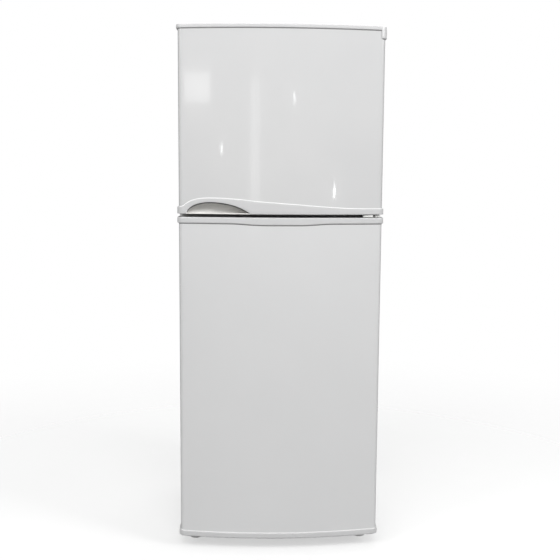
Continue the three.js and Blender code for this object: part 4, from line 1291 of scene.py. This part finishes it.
low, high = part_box("bottom_hinge")
face_y = (high.y - 0.0046, high.y)
arm = [
    (axis[0] - 0.046, face_y[0] + 0.001),
    (axis[0] - 0.046, axis[1] + 0.006),
    (axis[0] - 0.03, axis[1] - 0.0075),
]
arm += [
    (axis[0] + 0.0075, axis[1] - 0.0075),
    (axis[0] + 0.0088, axis[1] + 0.006),
    (axis[0] + 0.0088, face_y[0] + 0.001),
]
add(
    "bottom_hinge",
    "cabinet",
    plated,
    "zinc_steel",
    plate(arm, [0.001, 0.008, 0.004, 0.004, 0.006, 0.001], 0.03, 0.034),
    slab((low.x, face_y[0], low.z), (high.x, face_y[1], 0.056), 0.004, 0.0008, "y"),
    pin(0.03, high.z),
    pin(0.03, fridge_foot - 0.0005, 0.008, 0.0008),
    screw(low.x + 0.009, 0.027, face_y[0], 0.0042, 0.0022, "y", -1),
    screw(low.x + 0.009, 0.047, face_y[0], 0.0042, 0.0022, "y", -1),
    screw(high.x - 0.009, 0.047, face_y[0], 0.0042, 0.0022, "y", -1),
    sharp=35,
)

# ---------------------------------------------------------------- base, feet and rollers
# A dark grey grille clips to the front rail under the door. The front stands on two pale grey screw
# feet, and the back rolls on two nylon rollers under the tray that the compressor stands on.

dark = moulded(
    "dark grey plastic", (0.085, 0.087, 0.09), (0.065, 0.067, 0.07), (0.42, 0.6), 700.0, 0.00005,
    12.0,
)
foot_grey = moulded(
    "pale grey plastic", (0.62, 0.62, 0.61), (0.56, 0.56, 0.55), (0.42, 0.6), 700.0, 0.00005, 12.0
)
low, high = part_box("kick_plate")
profile = mm([(0.6, 0), (0, 0.6)])
for i in range(5):
    profile += mm([(0, 8), (1.2, 8.6), (1.2, 10), (0, 10.6)], (0, 0.0055 * i))
profile += mm([(0, -0.8), (0.8, 0), (3.5, 0), (3.5, -3), (2.1, -4)], (0, high.z - low.z))
profile += mm([(2.1, 3), (3.5, 2), (3.5, 0)])
kick_profile = np.array(profile) + (low.y, low.z)
kick_x = np.array(
    [
        low.x, low.x + 0.0005, low.x + 0.012, *np.linspace(-0.2, 0.15, 9), high.x - 0.012,
        high.x - 0.0005, high.x,
    ]
)
kick_ends = kick_profile.mean(0)
kick_rows = np.stack(
    [np.column_stack([np.full(len(kick_profile), x), kick_profile]) for x in kick_x]
)
closing = [np.broadcast_to((x, *kick_ends), (1, len(kick_profile), 3)) for x in (low.x, high.x)]
add(
    "kick_plate",
    "cabinet",
    dark,
    "dark_plastic",
    np.concatenate([closing[0], kick_rows, closing[1]]),
    sharp=30,
)

for side in ("left", "right"):
    low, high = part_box(f"foot_{side}")
    foot_middle = ((low.x + high.x) / 2, (low.y + high.y) / 2)
    thread = [(0.005 - 0.0006 * (i % 2), 0.0095 + 0.0009 * i) for i in range(48)]
    pad = [(0, 0), (15.5, 0), (16.8, 1.2), (17, 3), (16.5, 5.5), (12.5, 7.8), (11.5, 9), (5.2, 9)]
    profile = [*mm(pad), *thread, (0.0046, high.z - 0.001), (0.0036, high.z), (0, high.z)]
    add(
        f"foot_{side}", f"foot_{side}", foot_grey, "dark_plastic",
        turned(profile, foot_middle, sides=32), sharp=40,
    )
    low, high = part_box(f"roller_{side}")
    axle = ((low.y + high.y) / 2, (low.z + high.z) / 2)
    tyre = [(0, 0), (2.6, 0), (3, 0.5), (3, 5), (6.6, 5), (7.2, 6.8), (10.8, 6.8), (11.6, 5)]
    tyre = mm([*tyre, (14.2, 5), (15, 6.2), (15, 14)], (0, low.x))
    mirrored = [(r, low.x + high.x - x) for r, x in tyre[::-1]]
    add(
        f"roller_{side}", f"roller_{side}", dark, "dark_plastic",
        turned(tyre + mirrored, axle, "x", 40), sharp=40,
    )

# ---------------------------------------------------------------- compartment linings
# Each compartment is lined with one vacuum-formed skin of white polystyrene with soft corners,
# flanged round the front. Ledges pressed in both walls carry the shelves. The refrigerator's rises
# in a step at the back, over the compressor.

lining_white = moulded(
    "lining polystyrene", (0.74, 0.74, 0.725), (0.72, 0.721, 0.706), (0.26, 0.34), 520.0, 0.000004,
    2.5,
)


def lining(name, flange, cavity, floor, corner, grow=0.002):
    """Rectangles with round corners, each at its own depth: the outside of the skin from back to
    front, the flange, a soft front edge, and the inside back again. floor is how high the
    compartment's floor is at each depth."""
    (half, _, ceiling), rear = cavity, cavity[1]
    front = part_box(name)[0].y
    bend = 10

    def frame_at(half_x, low, high, radius, y):
        """One rectangle with round corners, upright at a depth y."""
        line, _ = rounded(half_x, (high - low) / 2, radius, bend)
        return np.column_stack([line[:, 0], np.full(len(line), y), line[:, 1] + (high + low) / 2])

    depths = np.concatenate(
        [[front + 0.004, front + 0.02, 0.0], np.linspace(0.07, 0.15, 25), [rear - 0.02]]
    )
    rows = []
    for y in depths[::-1]:
        rows.append(
            frame_at(
                half + grow,
                floor(y - grow) - grow,
                ceiling + grow,
                corner + grow,
                min(y, rear) + (grow if y >= rear - 0.03 else 0),
            )
        )
    rows.append(
        frame_at(half + grow, floor(front) - grow, ceiling + grow, corner + grow, front + 0.0012)
    )
    x, z0, z1 = flange
    rows += [frame_at(x, z0, z1, 0.001, y) for y in (front + 0.0012, front + 0.0004)]
    rows.append(frame_at(x - 0.0004, z0 + 0.0004, z1 - 0.0004, 0.001, front))
    for q in np.linspace(0, np.pi / 2, 5):
        out = 0.004 * (1 - np.sin(q))
        rows.append(
            frame_at(
                half + out, floor(front) - out, ceiling + out, corner + out,
                front + 0.004 * (1 - np.cos(q)),
            )
        )
    for y in depths[1:]:
        rows.append(frame_at(half, floor(y), ceiling, corner, y))
    for q in np.linspace(0, np.pi / 2, 6):
        inset = 0.014 * (1 - np.cos(q))
        rows.append(
            frame_at(
                half - inset, floor(rear) + inset, ceiling - inset, corner - inset * 0.9,
                rear - 0.014 * (1 - np.sin(q)),
            )
        )
    ends = [np.broadcast_to(rows[i].mean(0), rows[i].shape) for i in (0, -1)]
    return np.stack([ends[0], *rows, ends[1]])


def eased(share):
    """From 0 to 1 with flat ends: share cubed, times 6 share squared less 15 share plus 10."""
    share = np.clip(share, 0, 1)
    return share**3 * (share * (share * 6 - 15) + 10)


ledge_reach = {
    "freezer_liner": (0.238, -0.15, 0.145, (1.25,)),
    "fridge_liner": (0.251, -0.12, 0.245, (0.79, 0.56, 0.318)),
}
freezer_box, fridge_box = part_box("freezer_liner"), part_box("fridge_liner")
for name, flange, cavity, floor in (
    (
        "freezer_liner",
        (0.256, freezer_box[0].z, freezer_box[1].z),
        (0.238, 0.23, 1.472),
        lambda y: 1.036,
    ),
    (
        "fridge_liner",
        (0.256, fridge_box[0].z, fridge_box[1].z),
        (0.251, 0.252, 0.97),
        lambda y: 0.112 + 0.2 * eased((y - 0.09) / 0.042),
    ),
):
    half, start, end, heights = ledge_reach[name]
    ledges = []
    for z in heights:
        for turn in (-1, 1):
            inner, outer = sorted((turn * (half - 0.007), turn * (half + 0.001)))
            ledges.append(slab((inner, start, z - 0.005), (outer, end, z), 0.002, 0.0016, "y", 4))
    add(
        name.replace("liner", "lining"), "cabinet", lining_white, "liner_plastic",
        lining(name, flange, cavity, floor, 0.018), *ledges, sharp=40, stands_for=name,
    )

# ---------------------------------------------------------------- shelves
# The shelves are 5 mm toughened glass, with the green tone that its edges have. A white moulding
# grips the front edge of each, and a lower one the rear edge.

glass = moulded(
    "toughened glass", (0.42, 0.6, 0.53), (0.39, 0.57, 0.5), (0.02, 0.06), 60.0, 0.00001, 3.0,
    clear=(0.15, 0.2),
)
trim_white = moulded("shelf trim", (0.7, 0.7, 0.7), (0.66, 0.66, 0.665), (0.26, 0.4), 800.0)
for name in ("freezer_shelf", "shelf_upper", "shelf_lower", "crisper_cover"):
    low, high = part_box(name)
    add(
        name,
        "cabinet",
        glass,
        "shelf_glass",
        slab(
            (low.x + 0.0015, low.y + 0.003, low.z + 0.0008),
            (high.x - 0.0015, high.y - 0.002, high.z - 0.0006),
            0.004,
            0.0006,
        ),
        sharp=40,
    )
    front_trim = slab(
        (low.x, low.y, low.z), (high.x, low.y + 0.013, high.z), 0.0022, 0.0022, "x", 5
    )
    rear_trim = slab(
        (low.x, high.y - 0.009, low.z), (high.x, high.y, high.z), 0.0018, 0.0018, "x", 5
    )
    add(
        f"{name}_trims", "cabinet", trim_white, "liner_plastic", front_trim, rear_trim, sharp=40,
        stands_for="",
    )

# ---------------------------------------------------------------- drawers
# The vegetable drawer under the glass cover, and the shallow chill tray over the upper shelf, are
# clear tinted tubs, each with a white grip welded across its front.

tinted = moulded(
    "tinted styrene", (0.5, 0.64, 0.7), (0.46, 0.6, 0.67), (0.05, 0.14), 240.0, 0.00002, 8.0,
    clear=(0.28, 0.36),
)
for name, half, drop in (("crisper_drawer", 0.09, 0.034), ("chill_tray", 0.07, 0.012)):
    low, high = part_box(name)
    body_low = low.copy()
    body_low.y = {"crisper_drawer": -0.13, "chill_tray": -0.122}[name]
    step = low.z + (high.z - low.z) * (0.62 if name == "crisper_drawer" else 0.4)
    add(
        name,
        name,
        tinted,
        "clear_plastic",
        tub(body_low, high, 0.003, 0.018, 0.009, 0.002, step),
        sharp=40,
    )
    grip_low, grip_high = high.z - drop, high.z - drop + (
        0.01 if name == "crisper_drawer" else 0.008
    )
    grip = slab(
        (-half, low.y, grip_low), (half, body_low.y + 0.0025, grip_high), 0.0028, 0.0026, "z", 5
    )
    add(f"{name}_grip", name, trim_white, "liner_plastic", grip, sharp=50, stands_for="")

# ---------------------------------------------------------------- controls and lamp
# A white housing under the ceiling holds the thermostat and the lamp switch. The knob is fluted and
# has a raised pointer; the lamp sits under a ribbed frosted cover.

low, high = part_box("control_box")
outline = [(low.y, high.z), (low.y, low.z + 0.008), (low.y + 0.008, low.z), (high.y - 0.025, low.z)]
outline += [(high.y, low.z + 0.02), (high.y, high.z)]
box_line, box_out = bent(outline, [0.001, 0.006, 0.006, 0.008, 0.006, 0.001], closed=True)
box_section = soft_ends(low.x, high.x, 0.003, 5)
knob_place = (0.06, 0.949)
add(
    "control_box",
    "cabinet",
    trim_white,
    "liner_plastic",
    carried(box_line, box_out, box_section, up="x"),
    sharp=35,
)

low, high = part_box("thermostat_knob")
knob_side = [(0.0142, high.y - 0.0143), (0.0148, high.y - 0.015), (0.0148, low.y + 0.0062)]
knob_top = [
    (0.0138, low.y + 0.005), (0.0122, low.y + 0.0044), (0.0118, low.y + 0.0024),
    (0.0105, low.y + 0.002), (0, low.y + 0.002),
]
add(
    "thermostat_knob",
    "thermostat_knob",
    trim_white,
    "liner_plastic",
    turned(
        [(0, high.y), (0.003, high.y), (0.003, high.y - 0.0143), *knob_side],
        knob_place,
        "y",
        120,
        0.022,
        30,
    )[:-1],
    turned([knob_side[-1], *knob_top], knob_place, "y", 120, 0.022, 30),
    slab((0.0585, low.y, 0.9495), (0.0615, low.y + 0.004, 0.9625), 0.0012, 0.0008, "y", 4),
    sharp=35,
)

low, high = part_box("light_switch")
button = [(0, high.y), (0.004, high.y), *fillet((0.004, low.y + 0.003), (0, low.y), 0)]
add(
    "light_switch",
    "light_switch",
    trim_white,
    "liner_plastic",
    turned(button, ((low.x + high.x) / 2, (low.z + high.z) / 2), "y", 28),
    sharp=40,
)

low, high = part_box("lamp_cover")
frosted = moulded(
    "frosted lamp cover", (0.8, 0.8, 0.78), (0.76, 0.76, 0.74), (0.32, 0.5), 300.0, 0.00004, 10.0,
    clear=(0.6, 0.7),
)
cover_line, cover_out = rounded((high.x - low.x) / 2, (high.y - low.y) / 2, 0.012, 8)
cover_middle = ((high.x + low.x) / 2, (high.y + low.y) / 2)
cover_side = [
    (-0.002, high.z), (0, high.z), *fillet((0, low.z + 0.008), (-0.008, low.z + 0.0006), 0)
]
ribs = [
    slab(
        (low.x + 0.006, low.y + 0.008 + 0.0088 * i, low.z),
        (high.x - 0.006, low.y + 0.0112 + 0.0088 * i, low.z + 0.0016),
        0.0012,
        0.0008,
        "z",
        4,
    )
    for i in range(12)
]
add(
    "lamp_cover",
    "cabinet",
    frosted,
    "clear_plastic",
    carried(cover_line, cover_out, cover_side, cover_middle, ends=(False, True)),
    *ribs,
    sharp=40,
)

# ---------------------------------------------------------------- ice maker
# A blue-white tray of twelve cells hangs in a frame over the freezer shelf. Turning the knob at its
# front tips the ice out into the bin below.

low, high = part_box("ice_tray_frame")
end_deep = 0.004
frame_slabs = [
    slab((low.x, low.y, low.z), (high.x, low.y + end_deep, high.z), 0.006, 0.001, "y"),
    slab((low.x, high.y - end_deep, low.z), (high.x, high.y, high.z), 0.006, 0.001, "y"),
]
for x in (low.x, high.x - 0.004):
    frame_slabs.append(
        slab(
            (x, low.y + 0.001, low.z), (x + 0.004, high.y - 0.001, low.z + 0.012), 0.0015, 0.001,
            "y", 4,
        )
    )
    frame_slabs.append(
        slab(
            (x, low.y + 0.001, high.z - 0.012), (x + 0.004, high.y - 0.001, high.z), 0.0015, 0.001,
            "y", 4,
        )
    )
add("ice_tray_frame", "cabinet", trim_white, "liner_plastic", *frame_slabs, sharp=40)

low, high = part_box("ice_tray")
tray_axis = (-0.147, 1.326)
cell_x = np.linspace(-0.202, -0.092, 90)
cell_y = np.linspace(-0.132, 0.108, 180)
col = np.abs(np.mod((cell_x + 0.202) / 0.055, 1) - 0.5)[None] * 0.055
row = np.abs(np.mod((cell_y + 0.132) / 0.04 - 1e-9, 1) - 0.5)[:, None] * 0.04
pocket = eased((0.0245 - col) / 0.007) * eased((0.0172 - row) / 0.007)
rim = np.minimum(
    np.minimum(cell_x + 0.202, -0.092 - cell_x)[None],
    np.minimum(cell_y + 0.132, 0.108 - cell_y)[:, None],
)
tray_z = high.z - 0.0006 - 0.024 * pocket - 0.009 * (rim < 1e-6)
tray_points = np.stack([*np.broadcast_arrays(cell_x[None], cell_y[:, None], tray_z)], -1)
tray_blue = moulded(
    "ice tray plastic", (0.55, 0.66, 0.74), (0.5, 0.61, 0.7), (0.2, 0.34), 500.0, 0.00003
)
ice_tray = thicken(make("ice_tray", (tray_points, False), sharp=60), 0.0012, 0)
settle(ice_tray, "ice_tray", tray_blue, "clear_plastic", "ice_tray")
add(
    "ice_tray_knob",
    "ice_tray",
    trim_white,
    "liner_plastic",
    turned(
        mm(
            [
                (0, -130), (4, -130), (4, -142.5), (13.5, -142.5), (14.5, -143.5), (14.5, -154.5),
                (13.5, -156), (0, -156),
            ]
        ),
        tray_axis,
        "y",
        72,
        0.02,
        18,
    ),
    slab((-0.1495, low.y, 1.312), (-0.1445, -0.1555, 1.34), 0.002, 0.001, "y", 4),
    turned(
        [(0, 0.1075), (0.004, 0.1075), (0.004, high.y - 0.001), (0.003, high.y), (0, high.y)],
        tray_axis,
        "y",
        24,
    ),
    slab((-0.16, -0.1325, 1.318), (-0.134, -0.1295, 1.336), 0.004, 0.0008, "y", 4),
    slab((-0.16, 0.1055, 1.318), (-0.134, 0.1085, 1.336), 0.004, 0.0008, "y", 4),
    sharp=35,
    stands_for="",
)

# ---------------------------------------------------------------- freezer back wall and cooler
# A white panel with rows of slots stands in front of the finned aluminium evaporator and its small
# fan. A slider over one slot sets how much of the cold air goes down to the refrigerator.

fins = moulded(
    "evaporator aluminium", (0.66, 0.67, 0.68), (0.56, 0.57, 0.58), (0.3, 0.48), 240.0, 0.00003,
    22.0, Metallic=0.9,
)
foamed = moulded(
    "polyurethane foam", (0.74, 0.62, 0.36), (0.66, 0.53, 0.28), (0.75, 0.92), 140.0, 0.0005, 18.0
)
for name, paint, slot in (
    ("freezer_back_cover", lining_white, "liner_plastic"),
    ("air_slider", tray_blue, "liner_plastic"),
    ("evaporator", fins, "evaporator_aluminium"),
    ("fan_motor", dark, "dark_plastic"),
    ("evaporator_fan", trim_white, "liner_plastic"),
    ("insulation_foam", foamed, "insulation"),
    ("freezer_door_foam", foamed, "insulation"),
    ("fridge_door_foam", foamed, "insulation"),
    ("bottom_deck", zinc, "zinc_steel"),
    ("front_rail", zinc, "zinc_steel"),
    ("compressor_tray", zinc, "zinc_steel"),
):
    carried_over = bpy.data.objects[name]
    carried_over.data.materials.clear()
    carried_over.data.materials.append(paint.material)

# ---------------------------------------------------------------- condenser
# One steel pipe, folded to and fro across the back, with upright wires spot-welded to both sides of
# it to shed the heat. It is dipped in black enamel, and hangs on six plastic clips.


def pipe(path, radius, sides=10):
    """A round pipe along a smooth path. At each point the section lies across the mean of the two
    neighbouring directions, and its first corner is carried over from the point before."""
    path = np.asarray(path, float)
    ahead = np.gradient(path, axis=0)
    ahead /= np.linalg.norm(ahead, axis=1)[:, None]
    side = np.empty_like(path)
    seed = np.array([0.0, 0.0, 1.0]) if abs(ahead[0, 2]) < 0.9 else np.array([1.0, 0.0, 0.0])
    side[0] = np.cross(ahead[0], seed)
    for i in range(1, len(path)):
        side[i] = side[i - 1] - (side[i - 1] @ ahead[i]) * ahead[i]
        side[i] /= np.linalg.norm(side[i])
    side[0] /= np.linalg.norm(side[0])
    angle = np.linspace(0, 2 * np.pi, sides, endpoint=False)[None, :, None]
    rows = path[:, None] + radius * (
        np.cos(angle) * side[:, None] + np.sin(angle) * np.cross(ahead, side)[:, None]
    )
    caps = [np.broadcast_to(path[i], (1, sides, 3)) for i in (0, -1)]
    return np.concatenate([caps[0], rows, caps[1]])


def rounded_path(points, radius, bend=8):
    """A path through listed points in space, with each corner replaced by an arc-like curve."""
    points = np.asarray(points, float)
    share = np.linspace(0, 1, bend)[:, None]
    parts = [points[:1]]
    for before, corner, after in zip(points[:-2], points[1:-1], points[2:]):
        start = corner + (before - corner) / np.linalg.norm(before - corner) * radius
        end = corner + (after - corner) / np.linalg.norm(after - corner) * radius
        parts.append((1 - share) ** 2 * start + 2 * share * (1 - share) * corner + share**2 * end)
    return np.concatenate([*parts, points[-1:]])


passes, pitch, bottom, centre_y = 15, 0.07, 0.34, 0.312
half, pipe_radius = 0.232, 0.0026
coil = []
for i in range(passes):
    turn = -1 if i % 2 else 1
    z = bottom + pitch * i
    coil.append(
        [
            (-turn * (half - pitch / 2), centre_y, z),
            (0, centre_y, z),
            (turn * (half - pitch / 2), centre_y, z),
        ]
    )
    if i < passes - 1:
        angle = np.linspace(0, np.pi, 14)[1:-1]
        reach = half - pitch / 2 + pitch / 2 * np.sin(angle)
        coil.append(
            np.column_stack(
                [turn * reach, np.full(12, centre_y), z + pitch / 2 * (1 - np.cos(angle))]
            )
        )
black = moulded(
    "black enamel", (0.03, 0.031, 0.033), (0.018, 0.019, 0.02), (0.22, 0.42), 320.0, 0.00003, 30.0,
    Coat_Weight=0.3,
)
wires = []
for i in range(40):
    x = -0.193 + i * 0.386 / 39
    y = centre_y + (0.0034 if i % 2 else -0.0034)
    wires.append(pipe([(x, y, 0.333), (x, y, 0.8), (x, y, 1.327)], 0.0008, 6))
add(
    "condenser", "cabinet", black, "black_enamel", pipe(np.concatenate(coil), pipe_radius, 12),
    *wires, sharp=50,
)
clips = []
for level in (2, 7, 12):
    for x in (-0.15, 0.15):
        z = bottom + pitch * level
        clips.append(
            slab(
                (x - 0.006, 0.2963, z - 0.005), (x + 0.006, 0.3092, z + 0.005), 0.002, 0.0008, "y",
                4,
            )
        )
        clips.append(
            slab(
                (x - 0.009, 0.2963, z - 0.011), (x + 0.009, 0.2985, z + 0.011), 0.002, 0.0006, "y",
                4,
            )
        )
add("condenser_clips", "cabinet", dark, "dark_plastic", *clips, sharp=40, stands_for="")

# ---------------------------------------------------------------- compressor and its pipes
# The compressor is two steel cups welded round a seam and enamelled black, on a foot plate on four
# rubber bushes. Copper pipes carry the gas through a dryer to the condenser, a plastic cover holds
# the start relay, and the melt water dries off in a tray on top.

low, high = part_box("compressor")
pot = (0.06, 0.245)
stretch = 1.25
pot_profile = [*mm([(0, 4), (34, 6)]), *fillet((0.036, 0.0065), (0.0555, 0.026), 1, 7)]
weld = [(59.8, 40), (59.8, 85.5), (61.2, 86.2), (62, 87), (62, 92.5), (61.2, 93.5), (59.8, 94.5)]
pot_profile += mm([*weld, (59, 118)])
pot_profile += [*fillet((0.0575, 0.128), (0.024, 0.1635), 0, 10), (0.012, 0.1648), (0, 0.165)]
pot_grid = turned([(r, 0.05 + h) for r, h in pot_profile], (0, 0), sides=72)
pot_grid = pot_grid * (stretch, 1, 1) + (*pot, 0)
feet = [
    turned(
        mm(
            [
                (0, 53.2), (9, 53.2), (9.8, 54.5), (9.8, 57.5), (8.5, 59), (4, 59), (4, 62.5),
                (0, 62.5),
            ]
        ),
        (pot[0] + dx, pot[1] + dy),
        sides=20,
    )
    for dx in (-0.082, 0.082)
    for dy in (-0.044, 0.044)
]
add(
    "compressor",
    "cabinet",
    black,
    "black_enamel",
    pot_grid,
    slab((low.x, 0.19, 0.0505), (high.x, 0.3, 0.0532), 0.012, 0.0006, "z", 7),
    sharp=35,
)
add("compressor_bushes", "cabinet", dark, "dark_plastic", *feet, sharp=40, stands_for="")

copper = moulded(
    "copper pipe", (0.62, 0.33, 0.22), (0.42, 0.22, 0.15), (0.26, 0.48), 300.0, 0.00003, 40.0,
    Metallic=0.95,
)
runs = [
    (
        0.0026,
        0.006,
        12,
        [
            (118, 262, 98), (152, 270, 98), (190, 292, 98), (190, 306, 200), (190, 312, 336),
            (197, 312, 340),
        ],
    ),
    (
        0.0034,
        0.006,
        12,
        [(116, 235, 142), (165, 235, 142), (225, 260, 142), (225, 272, 210), (225, 272, 261)],
    ),
    (0.0028, 0.006, 12, [(120, 248, 75), (150, 270, 75), (165, 285, 90), (165, 285, 125)]),
    (0.0012, 0.008, 8, [(215, 296, 200), (215, 296, 225), (235, 285, 235), (235, 270, 258)]),
    (
        0.0026,
        0.008,
        12,
        [(215, 296, 128), (215, 296, 110), (240.5, 305, 110), (240.5, 312, 200), (240.5, 312, 330)],
    ),
]
lines = [
    pipe(rounded_path(mm(points), bend), radius, sides) for radius, bend, sides, points in runs
]
dryer = [
    (0, 126), (3.4, 128), (8.5, 137), (9.5, 142), (9.5, 186), (8.5, 191), (3.4, 200), (1.6, 202),
    (0, 202),
]
add(
    "copper_pipes", "cabinet", copper, "zinc_steel", *lines[:3],
    turned(mm(dryer), (0.215, 0.296), sides=28), *lines[3:], sharp=50, stands_for="",
)

low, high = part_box("relay_cover")
add(
    "relay_cover",
    "cabinet",
    dark,
    "dark_plastic",
    slab(low, high, 0.006, 0.003, "x"),
    slab(
        (low.x + 0.006, low.y, high.z - 0.012), (high.x - 0.006, high.y, high.z - 0.006), 0.003,
        0.001, "z", 4,
    ),
    sharp=35,
)

low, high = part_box("drip_tray")
grey_tray = moulded(
    "drip tray plastic", (0.2, 0.205, 0.21), (0.16, 0.165, 0.17), (0.4, 0.58), 600.0, 0.00004
)
add(
    "drip_tray", "cabinet", grey_tray, "dark_plastic", tub(low, high, 0.002, 0.016, 0.006, 0.0025),
    sharp=40,
)
